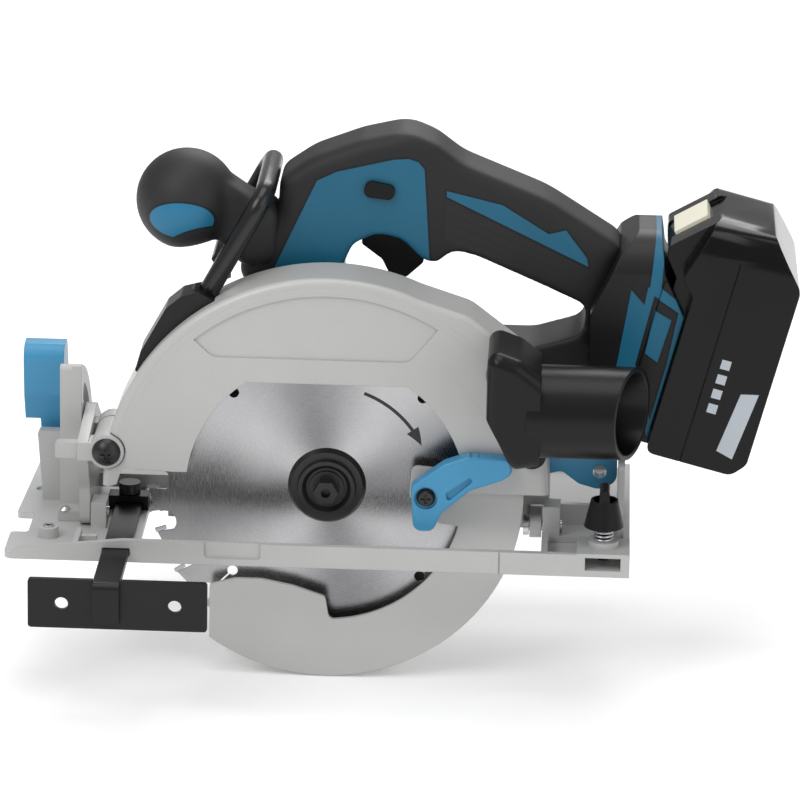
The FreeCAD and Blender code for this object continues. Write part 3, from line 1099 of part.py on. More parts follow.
def handle_shell(near, far, cavity_near, cavity_far):
    """One half of the body, from level near to level far, with its openings."""
    shape = prism(handle_outline(), "xz", near, far)
    gap = prism(finger_gap_outline(), "xz", near - 1, far + 1)
    trigger_slot = box(8, 48.5, TRIGGER_NEAR - 0.5, TRIGGER_FAR + 0.5, 110, 151)
    button_hole = prism(lock_off_outline(SIDE_GAP), "xz", near - 1, far + 1)
    cuts = [gap, handle_cavities(cavity_near, cavity_far), trigger_slot, button_hole]
    shape = shape.cut(cuts)
    posts = []
    holes = []
    for x, z in HOUSING_SCREWS:
        posts.append(rod(4.2, "xz", x, z, near + 1, far - 1 if far > HANDLE_CENTRE else far))
        holes.append(rod(2.0, "xz", x, z, HANDLE_CENTRE - 8, HANDLE_FAR + 1))
        holes.append(rod(3.6, "xz", x, z, HANDLE_FAR - 3, HANDLE_FAR + 1))
    shape = shape.fuse(posts)
    shape = shape.cut(holes)
    if far == HANDLE_FAR:
        pin = rod(1.5, "xz", *TRIGGER_PIVOT, TRIGGER_NEAR - 6, TRIGGER_FAR + 13)
        shape = shape.fuse(pin)
    return tidy(shape)


def housing_near():
    return handle_shell(HANDLE_NEAR, HANDLE_CENTRE, HANDLE_NEAR + SHELL_WALL, HANDLE_CENTRE + 1)


def housing_far():
    return handle_shell(HANDLE_CENTRE, HANDLE_FAR, HANDLE_CENTRE - 1, HANDLE_FAR - SHELL_WALL)


def body_screws():
    """The screws of the two body halves and the one of the dust nozzle."""
    screws = []
    for x, z in HOUSING_SCREWS:
        shank = rod(2.0, "xz", x, z, HANDLE_CENTRE - 6, HANDLE_FAR - 1)
        head = rod(3.6, "xz", x, z, HANDLE_FAR - 3, HANDLE_FAR - 0.6)
        socket = rod(1.4, "xz", x, z, HANDLE_FAR - 2, HANDLE_FAR)
        screws.append(tidy(shank.fuse(head).cut(socket)))
    return Part.makeCompound(screws + [nozzle_screw()])


def lock_off_outline(gap):
    return [
        (13 - gap, 157.5 - gap, 3), (27 + gap, 156 - gap, 3), (28.5 + gap, 162.5 + gap, 3.4),
        (15 - gap, 165 + gap, 3.4),
    ]


def lock_off_button():
    """The cross button that frees the trigger, showing at both sides of the handle."""
    return prism(lock_off_outline(0), "xz", HANDLE_NEAR - 2.5, HANDLE_FAR + 2.5)


def trigger():
    """The switch trigger, on its pin in the top of the finger gap."""
    shape = prism([
        (13, 139, 2), (12.5, 131, 2), (22, 124, 4), (25.5, 117, 3), (33, 115.5, 3), (41, 123, 3),
        (41.5, 134, 3), (36, 148, 2), (15, 149.5, 3),
    ], "xz", TRIGGER_NEAR, TRIGGER_FAR)
    hole = rod(1.5 + RUNNING_FIT, "xz", *TRIGGER_PIVOT, TRIGGER_NEAR - 1, TRIGGER_FAR + 1)
    return shape.cut(hole)


def switch_module():
    """The electronic switch behind the trigger."""
    case = box(44.5, 66, HANDLE_CENTRE - 10, HANDLE_CENTRE + 10, 142, 160)
    plunger = box(43.2, 45, HANDLE_CENTRE - 2, HANDLE_CENTRE + 2, 146, 150)
    return tidy(case.fuse(plunger))


def work_light_lens():
    """The lamp lens on the front of the body, facing the blade's front."""
    return prism([(-42.2, 95, 1), (-40, 94, 0), (-40, 106, 0), (-42.2, 105, 1)], "xz",
                 HANDLE_CENTRE - 9, HANDLE_CENTRE + 9)


GRIP_X = -67.5
GRIP_Y = 33.0
GRIP_Z = 150.5
GRIP_RADIUS = 22.6
KEY_X = -52.0
KEY_Z = 127.5


def grip_insert_region():
    return prism([
        (-83, 143, 4), (-76, 154.5, 7), (-60, 154, 7), (-54, 146, 4), (-66, 139.5, 6), (-79, 137, 4),
    ], "xz", GRIP_Y - GRIP_RADIUS - 1, GRIP_Y)


def front_grip():
    """The round front grip on its neck, with a clip under it for the key."""
    knob = Part.makeSphere(GRIP_RADIUS, vector(GRIP_X, GRIP_Y, GRIP_Z))
    neck = Part.makeCylinder(10, 34, vector(GRIP_X + 14, GRIP_Y + 4, 147), vector(1, 0.08, -0.12))
    clip = box(KEY_X - 4.5, -34, GRIP_Y - 5, GRIP_Y + 5, KEY_Z - 4, 140)
    body = prism(handle_outline(), "xz", HANDLE_NEAR - 30, HANDLE_FAR + 30)
    shape = knob.fuse([neck, clip]).cut(body)
    key_hole = hexagon(5.0, "xz", KEY_X, KEY_Z, GRIP_Y - 8, GRIP_Y + 8)
    core = Part.makeSphere(GRIP_RADIUS - 2, vector(GRIP_X, GRIP_Y, GRIP_Z))
    pocket = grip_insert_region().cut(core)
    return tidy(shape.cut([key_hole, pocket]))


def grip_insert():
    """The coloured pad let into the lower near side of the front grip."""
    ball = Part.makeSphere(GRIP_RADIUS, vector(GRIP_X, GRIP_Y, GRIP_Z))
    core = Part.makeSphere(GRIP_RADIUS - 2, vector(GRIP_X, GRIP_Y, GRIP_Z))
    return grip_insert_region().common(ball).cut(core)


def hex_key():
    """The blade key, stored crosswise under the front grip, with its short arm at the far end."""
    long_arm = hexagon(5.0, "xz", KEY_X, KEY_Z, GRIP_Y - 19, GRIP_Y + 27)
    short_arm = hexagon(5.0, "xy", KEY_X, GRIP_Y + 25, KEY_Z - 22, KEY_Z)
    return tidy(long_arm.fuse(short_arm))


# ---- hanging hook -------------------------------------------------------------------------------
HOOK_RADIUS = 4.6
HOOK_Y = 4.0
HOOK_FOOT = (-58.6, 109.0)
HOOK_LEAN = (0.4775, 0.8786)
HOOK_LEG = 59.5
HOOK_REACH = 68.0
HOOK_TIP = 34.0
HOOK_END = 2.5


def hook_point(up, out):
    """A point on the hook's plane: up along the leg and out along the cross bar."""
    return vector(HOOK_FOOT[0] + up * HOOK_LEAN[0], HOOK_Y + out, HOOK_FOOT[1] + up * HOOK_LEAN[1])


def hook_socket():
    """The bore that the hook's leg turns in."""
    lean = vector(HOOK_LEAN[0], 0, HOOK_LEAN[1])
    return Part.makeCylinder(HOOK_RADIUS + RUNNING_FIT, 40, hook_point(HOOK_END - SIDE_GAP, 0), lean)


def hook():
    """The swinging hanger: a leg in the mount, a cross bar and a returned tip."""
    lean = vector(HOOK_LEAN[0], 0, HOOK_LEAN[1])
    leg = Part.makeCylinder(HOOK_RADIUS, HOOK_LEG - HOOK_END, hook_point(HOOK_END, 0), lean)
    bar = Part.makeCylinder(HOOK_RADIUS, HOOK_REACH, hook_point(HOOK_LEG, 0), vector(0, 1, 0))
    tip = Part.makeCylinder(HOOK_RADIUS, HOOK_TIP, hook_point(HOOK_LEG - HOOK_TIP, HOOK_REACH), lean)
    elbows = []
    for out in (0, HOOK_REACH):
        elbows.append(Part.makeSphere(HOOK_RADIUS, hook_point(HOOK_LEG, out)))
    end = Part.makeSphere(HOOK_RADIUS, hook_point(HOOK_LEG - HOOK_TIP, HOOK_REACH))
    pin = Part.makeCylinder(1.3, 10, hook_point(12, -5), vector(0, 1, 0))
    return tidy(leg.fuse([bar, tip, end, pin] + elbows))


def hook_mount():
    """The wedge on the guard's rim that the hook's leg turns in."""
    wedge = prism([
        (-88, 79, 1), (-85.5, 88, 3), (-74, 109, 3), (-67, 115, 2), (-56, 118, 1), (-48, 113, 1),
        (-50, 100, 0), (-80, 76, 0),
    ], "xz", HOOK_Y - 9, HOOK_Y + 8)
    lean = vector(HOOK_LEAN[0], 0, HOOK_LEAN[1])
    ferrule = Part.makeCylinder(7, 12, hook_point(-5, 0), lean)
    rim = rod(UPPER_GUARD_RADIUS, "xz", 0, ARBOR_HEIGHT, HOOK_Y - 20, HOOK_Y + 20)
    above = Part.makeCylinder(30, 30, hook_point(7, 0), lean)
    return tidy(wedge.fuse(ferrule).cut([rim, hook_socket(), above]))


# ---- dust nozzle --------------------------------------------------------------------------------
NOZZLE_Y = -32.6
NOZZLE_Z = 75.0
NOZZLE_RADIUS = 21.0
NOZZLE_WALL = 2.2
NOZZLE_END = 138.0
NOZZLE_SLANT = 21.0
HOOD_REAR = GUARD_REAR - 1
LEVER_SWEEP_RADIUS = 88.5
NOZZLE_SCREW = (93.5, 48.5)


def nozzle_hood_outline(inset):
    return [
        (73 + inset, 108.5 - inset, 5), (88, 103 - inset, 8),
        (HOOD_REAR, NOZZLE_Z + NOZZLE_RADIUS - inset, 0),
        (HOOD_REAR, NOZZLE_Z - NOZZLE_RADIUS + inset, 0), (86, 52 + inset, 3), (73 + inset, 66, 4),
    ]


def dust_nozzle():
    """The chip elbow: a hood over the guard's port that turns into a round, slant-ended tube."""
    near = NOZZLE_Y - NOZZLE_RADIUS
    seat = UPPER_GUARD_NEAR - RUNNING_FIT
    hood = prism(nozzle_hood_outline(0), "xz", near + 1, seat)
    hood = fillet_at(hood, 6.0, lambda p: p.y < near + 1.01 and p.x < HOOD_REAR - 1)
    sweep = rod(LEVER_SWEEP_RADIUS, "xz", 0, ARBOR_HEIGHT, near - 1, seat + 1)
    tail = rod(NOZZLE_RADIUS, "yz", NOZZLE_Y, NOZZLE_Z, HOOD_REAR - 6, NOZZLE_END + 12)
    tail = tail.cut(box(0, GUARD_REAR + EASY_GAP, seat, 50, 0, 200))
    screw_x, screw_z = NOZZLE_SCREW
    lobe = rod(6.5, "xz", screw_x, screw_z, seat - 4, seat)
    shape = hood.cut(sweep).fuse([tail, lobe])
    inner_sweep = rod(LEVER_SWEEP_RADIUS + NOZZLE_WALL, "xz", 0, ARBOR_HEIGHT, near - 1, seat + 2)
    room = prism(nozzle_hood_outline(NOZZLE_WALL + 1), "xz", near + 9, seat - NOZZLE_WALL).cut(inner_sweep)
    bore = rod(NOZZLE_RADIUS - NOZZLE_WALL, "yz", NOZZLE_Y, NOZZLE_Z, HOOD_REAR - 9, NOZZLE_END + 13)
    port = rod(PORT_RADIUS - 1, "xz", PORT_X, PORT_Z, seat - 5, seat + 1)
    slant = box(NOZZLE_END, NOZZLE_END + 40, NOZZLE_Y - 50, NOZZLE_Y + 50, 20, 130)
    slant.rotate(vector(NOZZLE_END, NOZZLE_Y, NOZZLE_Z), vector(0, 0, 1), -NOZZLE_SLANT)
    screw_hole = rod(2.0, "xz", screw_x, screw_z, seat - 10, seat + 1)
    return tidy(shape.cut([room, bore, port, slant, screw_hole]))


def nozzle_screw():
    x, z = NOZZLE_SCREW
    seat = UPPER_GUARD_NEAR - RUNNING_FIT - 4
    head = cone(2.8, 3.8, "xz", x, z, seat - 2.2, seat)
    shank = rod(2.0, "xz", x, z, seat - 0.5, UPPER_GUARD_NEAR - RUNNING_FIT)
    across = box(x - 2, x + 2, seat - 3, seat - 1.2, z - 0.45, z + 0.45)
    upright = box(x - 0.45, x + 0.45, seat - 3, seat - 1.2, z - 2, z + 2)
    return tidy(head.fuse(shank).cut([across, upright]))


# ---- depth clamp --------------------------------------------------------------------------------
DEPTH_LEVER_NEAR = 19.5
DEPTH_LEVER_FAR = 26.5


def depth_clamp_bolt():
    """The bolt in the guard's far wall that the depth guide slides past."""
    shank = rod(DEPTH_BOLT_RADIUS - 0.02, "xz", DEPTH_BOLT_X, DEPTH_BOLT_Z, FAR_INSIDE, DEPTH_LEVER_FAR + 3)
    washer = rod(6.0, "xz", DEPTH_BOLT_X, DEPTH_BOLT_Z, DEPTH_GUIDE_FAR + 0.1,
                  DEPTH_LEVER_NEAR - 0.2)
    return tidy(shank.fuse(washer))


def depth_lever():
    """The long lever that clamps the cutting depth, ending in a round thumb lobe behind the guard."""
    shape = prism([
        (54, 1.2, 6), (69, 1.2, 6), (86, 22, 6), (99, 27, 4), (107, 29, 3), (115, 23, 6), (124, 20.5, 6),
        (132.5, 24, 6), (132.5, 34, 4), (131, 40, 3), (84, 40, 8), (62, 17, 6), (54, 15.5, 6),
    ], "xz", DEPTH_LEVER_NEAR, DEPTH_LEVER_FAR)
    hole = rod(DEPTH_BOLT_RADIUS + RUNNING_FIT, "xz", DEPTH_BOLT_X, DEPTH_BOLT_Z,
               DEPTH_LEVER_NEAR - 1, DEPTH_LEVER_FAR + 1)
    button = rod(3.2, "xz", 124.5, 29, DEPTH_LEVER_NEAR - 1, DEPTH_LEVER_FAR + 1)
    return shape.cut([hole, button])


# ---- battery and its terminal housing -----------------------------------------------------------
MATING_FACE = -BATTERY_THICKNESS + 5.0
TONGUE_DEPTH = 8.5
TONGUE_HALF_WIDTH = 27.0
BATTERY_NEAR = HANDLE_CENTRE - BATTERY_WIDTH / 2
BATTERY_FAR = HANDLE_CENTRE + BATTERY_WIDTH / 2
TERMINAL_NEAR = HANDLE_CENTRE - TERMINAL_WIDTH / 2
TERMINAL_FAR = HANDLE_CENTRE + TERMINAL_WIDTH / 2
CASE_SPLIT = -38.0


def tilt_battery(shape):
    """Move a shape from the upright battery frame (foot at the origin) to its leaning place."""
    placed = shape.copy()
    placed.rotate(vector(0, 0, 0), vector(0, 1, 0), BATTERY_TILT)
    placed.translate(vector(BATTERY_FOOT_X, 0, BATTERY_FOOT_Z))
    return placed


def battery_outline(inset):
    front = MATING_FACE + 0.5 + inset
    top = BATTERY_LENGTH + 2.5 - inset
    return [
        (front, -5 + inset, 4), (-6, -5 + inset, 6), (-inset, 2, 6), (-inset, 88, 8),
        (-18 - 0.4 * inset, top, 6), (-45 + inset, top, 5), (front - 7, 79, 4), (front, 72, 3),
    ]


def tongue_outline(inset):
    front = MATING_FACE
    return [
        (CASE_SPLIT - 2, -4 + inset, 0), (front - TONGUE_DEPTH + inset, -4 + inset, 2),
        (front - TONGUE_DEPTH + inset, 76, 2), (front - 15 + inset, 84, 2),
        (front - 16 + inset, 89, 3), (-45, 106.5 - inset, 2), (CASE_SPLIT - 2, 106.5 - inset, 0),
    ]


def battery_solid(inset):
    body = prism(battery_outline(inset), "xz", BATTERY_NEAR + inset, BATTERY_FAR - inset)
    tongue = prism(tongue_outline(inset), "xz", HANDLE_CENTRE - TONGUE_HALF_WIDTH + inset,
                   HANDLE_CENTRE + TONGUE_HALF_WIDTH - inset)
    top = BATTERY_LENGTH + 2.5 - inset
    ends = prism([
        (BATTERY_NEAR + inset, -30, 0), (BATTERY_NEAR + inset, top, BATTERY_SHOULDER - inset),
        (BATTERY_FAR - inset, top, BATTERY_SHOULDER - inset), (BATTERY_FAR - inset, -30, 0),
    ], "yz", -90, 20)
    return body.fuse(tongue).common(ends)


def battery_case():
    """The battery's outer tray, open towards the saw."""
    shell = battery_solid(0).cut(battery_solid(BATTERY_WALL))
    keep = box(CASE_SPLIT, 20, -50, 150, -30, 150)
    return tilt_battery(tidy(shell.common(keep)))


def battery_cover():
    """The battery's front cover with its sliding tongue and the pocket for the release button."""
    shell = battery_solid(0).cut(battery_solid(BATTERY_WALL))
    keep = box(-120, CASE_SPLIT, -50, 150, -30, 150)
    return tilt_battery(tidy(shell.common(keep).cut(release_shape(SIDE_GAP, 4.2))))


def release_slope():
    """Middle and direction of the sloping face that carries the release button."""
    low = vector(MATING_FACE - 16, 0, 89)
    high = vector(-45, 0, 106.5)
    along = (high - low).normalize()
    return (low + high) * 0.5, along


def release_shape(gap, depth):
    """The release button in the upright battery frame, grown by gap and sunk by depth."""
    middle, along = release_slope()
    lean = math.degrees(math.atan2(along.z, along.x))
    half_length = 8.5 + gap
    half_width = 13 + gap
    plate = box(-half_length, half_length, HANDLE_CENTRE - half_width, HANDLE_CENTRE + half_width,
                -depth, 1.2)
    plate.rotate(vector(0, 0, 0), vector(0, 1, 0), -lean)
    plate.translate(middle)
    return plate


def battery_release_button():
    return tilt_battery(release_shape(0, 2.0))


def battery_cells():
    """Ten cylindrical cells lying across the pack, in two columns of five."""
    cells = []
    for row in range(5):
        for column in range(2):
            x = -3.2 - CELL_RADIUS - column * (2 * CELL_RADIUS + 0.3)
            z = 7.5 + row * (2 * CELL_RADIUS + 0.3)
            cells.append(rod(CELL_RADIUS, "xz", x, z, HANDLE_CENTRE - CELL_LENGTH / 2,
                             HANDLE_CENTRE + CELL_LENGTH / 2))
    return tilt_battery(Part.makeCompound(cells))


def battery_rail_frame(level):
    """A point of the upright battery frame, as x and z in the saw's frame."""
    turn = math.radians(BATTERY_TILT)
    x = BATTERY_FOOT_X + MATING_FACE * math.cos(turn) + level * math.sin(turn)
    z = BATTERY_FOOT_Z - MATING_FACE * math.sin(turn) + level * math.cos(turn)
    return x, z


def terminal_outline():
    low_x, low_z = battery_rail_frame(-0.5)
    high_x, high_z = battery_rail_frame(60)
    return [
        (SHELL_REAR + 0.05, BODY_LOW, 2), (SHELL_REAR + 0.05, 108, 0), (131, 135, 0), (145, 149, 4),
        (149, 147, 1), (151.5, 127, 4), (high_x, high_z, 2), (low_x, low_z, 3), (124, low_z + 2, 6),
    ]


def battery_room():
    """The space the battery's tongue slides up through."""
    front = MATING_FACE - TONGUE_DEPTH - SIDE_GAP
    half = TONGUE_HALF_WIDTH + SIDE_GAP
    return tilt_battery(box(front, 40, HANDLE_CENTRE - half, HANDLE_CENTRE + half, -4.4, 220))


def frame_strip():
    """The band along the mating face that belongs to the coloured frame."""
    return tilt_battery(box(MATING_FACE - 13, 60, -50, 150, -40, 74))


def rounded_shoulders():
    """The room that the rear housing may fill: square below, with wide round shoulders on top."""
    return prism([
        (TERMINAL_NEAR - 1, 20, 0), (TERMINAL_NEAR - 1, HOUSING_TOP, HOUSING_SHOULDER),
        (TERMINAL_FAR + 1, HOUSING_TOP, HOUSING_SHOULDER), (TERMINAL_FAR + 1, 20, 0),
    ], "yz", SHELL_REAR - 1, 200)


def terminal_housing():
    """The rear housing between the handle and the battery."""
    shape = prism(terminal_outline(), "xz", TERMINAL_NEAR, TERMINAL_FAR).common(rounded_shoulders())
    shape = shape.cut([frame_strip(), battery_room()])
    hollow = tilt_battery(box(MATING_FACE - 32, MATING_FACE - 16, TERMINAL_NEAR + SHELL_WALL,
                              TERMINAL_FAR - SHELL_WALL, 14, 74))
    hollow = hollow.common(box(SHELL_REAR + 3, 200, 0, 100, 0, 200))
    return tidy(shape.cut(hollow))


def terminal_frame():
    """The coloured frame that the battery slides along."""
    shape = prism(terminal_outline(), "xz", TERMINAL_NEAR - 1, TERMINAL_FAR + 1)
    shape = shape.common(rounded_shoulders())
    return tidy(shape.common(frame_strip()).cut([battery_room(), terminal_block_space()]))


def terminal_block_space():
    return tilt_battery(box(MATING_FACE - TONGUE_DEPTH - 3.5, MATING_FACE - TONGUE_DEPTH - SIDE_GAP - 0.01,
                            HANDLE_CENTRE - 18, HANDLE_CENTRE + 18, 12, 44))


def terminal_block():
    """The block of contacts that the battery's tongue meets."""
    return terminal_block_space()


def control_board():
    """The motor's control board, upright in the rear housing."""
    half = TERMINAL_WIDTH / 2 - SHELL_WALL - 0.2
    board = box(MATING_FACE - 22, MATING_FACE - 20, HANDLE_CENTRE - half, HANDLE_CENTRE + half, 26, 62)
    return tilt_battery(board)


# ---- output -------------------------------------------------------------------------------------
BUILDERS = [
    base_plate, bevel_adjust_screw, front_quadrant, rear_bracket, base_rivets, guide_clamp_screw,
    clamp_spring, guide_bar, guide_fence, rule_clamp, rule_clamp_screw, tilt_frame,
    bevel_lock_bolt, bevel_lever, depth_pivot_bolt, upper_guard, lower_guard,
    guard_lever, guard_lever_screw, guard_spring, saw_blade, carbide_tips, spindle, inner_flange,
    outer_flange, blade_bolt, ball_bearings, driven_gear, pinion, rotor_shaft, rotor_core, stator,
    cooling_fan, gear_case, shaft_lock, motor_housing, motor_end_cover, housing_near, housing_far,
    body_screws, lock_off_button, trigger, switch_module, work_light_lens, front_grip,
    grip_insert, hex_key, hook, hook_mount, dust_nozzle, depth_clamp_bolt, depth_lever,
    battery_case, battery_cover, battery_release_button, battery_cells, terminal_housing,
    terminal_frame, terminal_block, control_board,
]


def main():
    os.makedirs("parts", exist_ok=True)
    for builder in BUILDERS:
        shape = builder()
        print(builder.__name__, len(shape.Solids), round(shape.Volume), shape.isValid())
        shape.exportStep("parts/" + builder.__name__ + ".step")


main()
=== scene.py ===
# %% [markdown]
# # A cordless circular saw
#
# The CAD model holds every piece of the saw at its true size. Here it gets its finishes, and the
# pieces with soft, moulded shapes are modelled again: the handle, the front grip, the hanging hook
# and the battery. The first cell loads the CAD model as a frame that never moves.

# %% Load the frame
import math

import bpy
from mathutils import Matrix, Vector


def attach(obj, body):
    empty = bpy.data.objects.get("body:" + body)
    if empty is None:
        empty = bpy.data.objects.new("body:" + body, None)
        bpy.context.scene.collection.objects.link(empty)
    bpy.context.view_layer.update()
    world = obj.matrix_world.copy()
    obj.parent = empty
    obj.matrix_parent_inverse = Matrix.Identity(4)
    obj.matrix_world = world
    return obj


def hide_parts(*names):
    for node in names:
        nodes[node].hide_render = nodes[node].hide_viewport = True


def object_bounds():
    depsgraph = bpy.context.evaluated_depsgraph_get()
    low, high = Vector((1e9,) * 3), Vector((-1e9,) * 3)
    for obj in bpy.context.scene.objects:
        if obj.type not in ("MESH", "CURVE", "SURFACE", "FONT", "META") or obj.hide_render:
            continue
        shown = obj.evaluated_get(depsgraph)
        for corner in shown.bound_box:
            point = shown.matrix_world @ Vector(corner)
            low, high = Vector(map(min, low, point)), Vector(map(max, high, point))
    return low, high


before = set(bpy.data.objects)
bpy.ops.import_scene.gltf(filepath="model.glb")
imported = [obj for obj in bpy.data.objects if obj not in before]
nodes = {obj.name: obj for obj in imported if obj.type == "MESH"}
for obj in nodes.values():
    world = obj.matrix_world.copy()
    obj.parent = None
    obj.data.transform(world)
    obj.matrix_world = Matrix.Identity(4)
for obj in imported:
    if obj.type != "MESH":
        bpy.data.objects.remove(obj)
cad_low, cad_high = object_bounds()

MM = 0.001
print("CAD box in mm:", [round(v / MM) for v in cad_low], [round(v / MM) for v in cad_high])

# %% [markdown]
# The saw is seen from its blade side, a little from above, through a long lens. A camera's place
# and turn can be given as one matrix: three columns for its right, up and back directions and one
# for where it stands. Building the columns from yaw, elevation and roll keeps each angle readable.

# %% Camera
YAW = math.radians(2.24)
ELEVATION = math.radians(18.31)
ROLL = math.radians(1.06)
DISTANCE = 2.2755
AIM = Vector((0.03267, 0.0, 0.06733))
LENS = 225
FAR_CLIP = 20

back = Vector((
    math.sin(YAW) * math.cos(ELEVATION),
    -math.cos(YAW) * math.cos(ELEVATION),
    math.sin(ELEVATION),
))
right = (-back).cross(Vector((0, 0, 1))).normalized()
up = back.cross(right)
rolled_right = right * math.cos(ROLL) + up * math.sin(ROLL)
rolled_up = up * math.cos(ROLL) - right * math.sin(ROLL)

bpy.ops.object.camera_add()
camera = bpy.context.object
camera.name = "viewpoint"
camera.data.lens = LENS
camera.data.clip_end = FAR_CLIP
turn = Matrix((rolled_right, rolled_up, back)).transposed().to_4x4()
camera.matrix_world = Matrix.Translation(AIM + back * DISTANCE) @ turn
bpy.context.scene.camera = camera
print("camera stands", DISTANCE, "m from the saw, lens", LENS, "mm")

# %% [markdown]
# The saw stands over a plain pale floor. Four big area lights far away give soft shadows: the main
# light at the upper left, one on the right that opens the shadows, one behind that draws a light
# edge along the dark plastics, and one above. A pale sky fills in what they leave.

# %% Floor and lights
FLOOR_SIZE = 14
FLOOR_GAP = 0.5 * MM
SKY_STRENGTH = 0.42

bpy.ops.mesh.primitive_grid_add(x_subdivisions=2, y_subdivisions=2, size=FLOOR_SIZE)
floor = bpy.context.object
floor.name = "floor"
floor.data.transform(Matrix.Translation((0, 0, cad_low[2] - FLOOR_GAP)))


def add_light(name, place, size, power):
    bpy.ops.object.light_add(type="AREA", location=place)
    lamp = bpy.context.object
    lamp.name = name
    lamp.data.size = size
    lamp.data.energy = power
    lamp.rotation_euler = (AIM - Vector(place)).to_track_quat("-Z", "Y").to_euler()


add_light("main_light", (-1.3, -1.6, 2.0), 1.4, 30)
add_light("fill_light", (1.8, -1.5, 1.0), 1.8, 11)
add_light("rim_light", (0.3, 1.8, 1.6), 1.4, 24)
add_light("top_light", (0.0, -0.2, 2.4), 1.6, 20)

world = bpy.context.scene.world or bpy.data.worlds.new("studio")
bpy.context.scene.world = world
world.use_nodes = True
world.node_tree.nodes["Background"].inputs["Color"].default_value = (1.0, 1.0, 1.0, 1)
world.node_tree.nodes["Background"].inputs["Strength"].default_value = SKY_STRENGTH
bpy.context.scene.view_settings.view_transform = "Standard"

# %% [markdown]
# ## Finishes
#
# A finish is a small network of nodes. Two helpers keep them short. `Number` wraps one socket, so
# that shader maths reads like plain arithmetic: `1 - mask * 0.5` adds the Math nodes by itself.
# `Finish` starts a material, and its `node` method adds any other node, settings first.

# %% Helpers for finishes


class Number:
    """A shader value that can be added, subtracted, multiplied, divided and compared."""

    def __init__(self, finish, socket):
        self.finish = finish
        self.socket = socket

    def join(self, operation, first, second=None):
        values = {0: first} if second is None else {0: first, 1: second}
        return Number(self.finish, self.finish.node("Math", {"operation": operation}, values).outputs[0])

    def __add__(self, other):
        return self.join("ADD", self, other)

    __radd__ = __add__

    def __sub__(self, other):
        return self.join("SUBTRACT", self, other)

    def __rsub__(self, other):
        return self.join("SUBTRACT", other, self)

    def __mul__(self, other):
        return self.join("MULTIPLY", self, other)

    __rmul__ = __mul__

    def __truediv__(self, other):
        return self.join("DIVIDE", self, other)

    def __gt__(self, other):
        return self.join("GREATER_THAN", self, other)

    def __lt__(self, other):
        return self.join("LESS_THAN", self, other)

    def least(self, other):
        return self.join("MINIMUM", self, other)

    def most(self, other):
        return self.join("MAXIMUM", self, other)

    def part(self):
        return self.join("FRACT", self)

    def size(self):
        return self.join("ABSOLUTE", self)

    def root(self):
        return self.join("SQRT", self)


class Finish:
    """A material under construction."""

    def __init__(self, name, roughness=0.5, metallic=0.0, shine=0.5):
        self.material = bpy.data.materials.new(name)
        self.material.use_nodes = True
        self.tree = self.material.node_tree
        self.shader = self.tree.nodes["Principled BSDF"]
        self.shader.inputs["Roughness"].default_value = roughness
        self.shader.inputs["Metallic"].default_value = metallic
        self.shader.inputs["Specular IOR Level"].default_value = shine

    def node(self, kind, settings, values):
        """Adds one node: its settings first, then a value or a link for each named socket."""
        added = self.tree.nodes.new("ShaderNode" + kind)
        for name, setting in settings.items():
            setattr(added, name, setting)
        for name, value in values.items():
            if isinstance(value, Number):
                value = value.socket
            if isinstance(value, bpy.types.NodeSocket):
                self.tree.links.new(value, added.inputs[name])
            else:
                added.inputs[name].default_value = value
        return added

    def feed(self, name, value):
        socket = value.socket if isinstance(value, Number) else value
        self.tree.links.new(socket, self.shader.inputs[name])

    def place(self):
        """The three numbers of the point on the surface, in the saw's own frame and in metres."""
        point = self.node("TexCoord", {}, {}).outputs["Object"]
        split = self.node("SeparateXYZ", {}, {"Vector": point})
        return [Number(self, split.outputs[axis]) for axis in "XYZ"]

    def noise(self, scale, detail=3.0, stretch=(1, 1, 1), roughness=0.5):
        """Noise from 0 to 1. The scale is in bumps per metre; stretch makes it streaky."""
        point = self.node("TexCoord", {}, {}).outputs["Object"]
        moved = self.node("Mapping", {}, {"Vector": point, "Scale": stretch})
        values = {"Vector": moved.outputs[0], "Scale": scale, "Detail": detail, "Roughness": roughness}
        return Number(self, self.node("TexNoise", {}, values).outputs["Fac"])

    def mix(self, factor, first, second):
        """One colour where factor is 0 and another where it is 1."""
        values = {"Factor": factor, "A": first, "B": second}
        added = self.tree.nodes.new("ShaderNodeMix")
        added.data_type = "RGBA"
        for socket in added.inputs:
            if socket.name in values and socket.enabled:
                value = values[socket.name]
                value = value.socket if isinstance(value, Number) else value
                if isinstance(value, bpy.types.NodeSocket):
                    self.tree.links.new(value, socket)
                else:
                    socket.default_value = value
        return [socket for socket in added.outputs if socket.enabled][0]

    def bump(self, height, strength, depth, edge=0.0006):
        """Relief from a height, on top of softly rounded edges."""
        edges = self.node("Bevel", {"samples": 4}, {"Radius": edge})
        values = {"Height": height, "Strength": strength, "Distance": depth, "Normal": edges.outputs[0]}
        self.feed("Normal", self.node("Bump", {}, values).outputs[0])

    def paint(self, node):
        """Gives the finish to a CAD node or to a new piece."""
        piece = nodes[node] if isinstance(node, str) else node
        piece.data.materials.clear()
        piece.data.materials.append(self.material)


def rgb(red, green, blue):
    return (red, green, blue, 1.0)


# %% [markdown]
# The guards and the base are painted light grey over cast and pressed metal. Such paint is never
# one even grey: it has a fine grain, faint clouds, and a roughness that changes a little. One
# function makes every paint here, because only their tone and their gloss differ. It can be handed
# another function that draws raised lines, whose height is then added to that of the grain.

# %% Painted metal
PALE_GREY = rgb(0.50, 0.50, 0.49)
SHADED_GREY = rgb(0.40, 0.40, 0.392)
PAINT_GRAIN = 2600


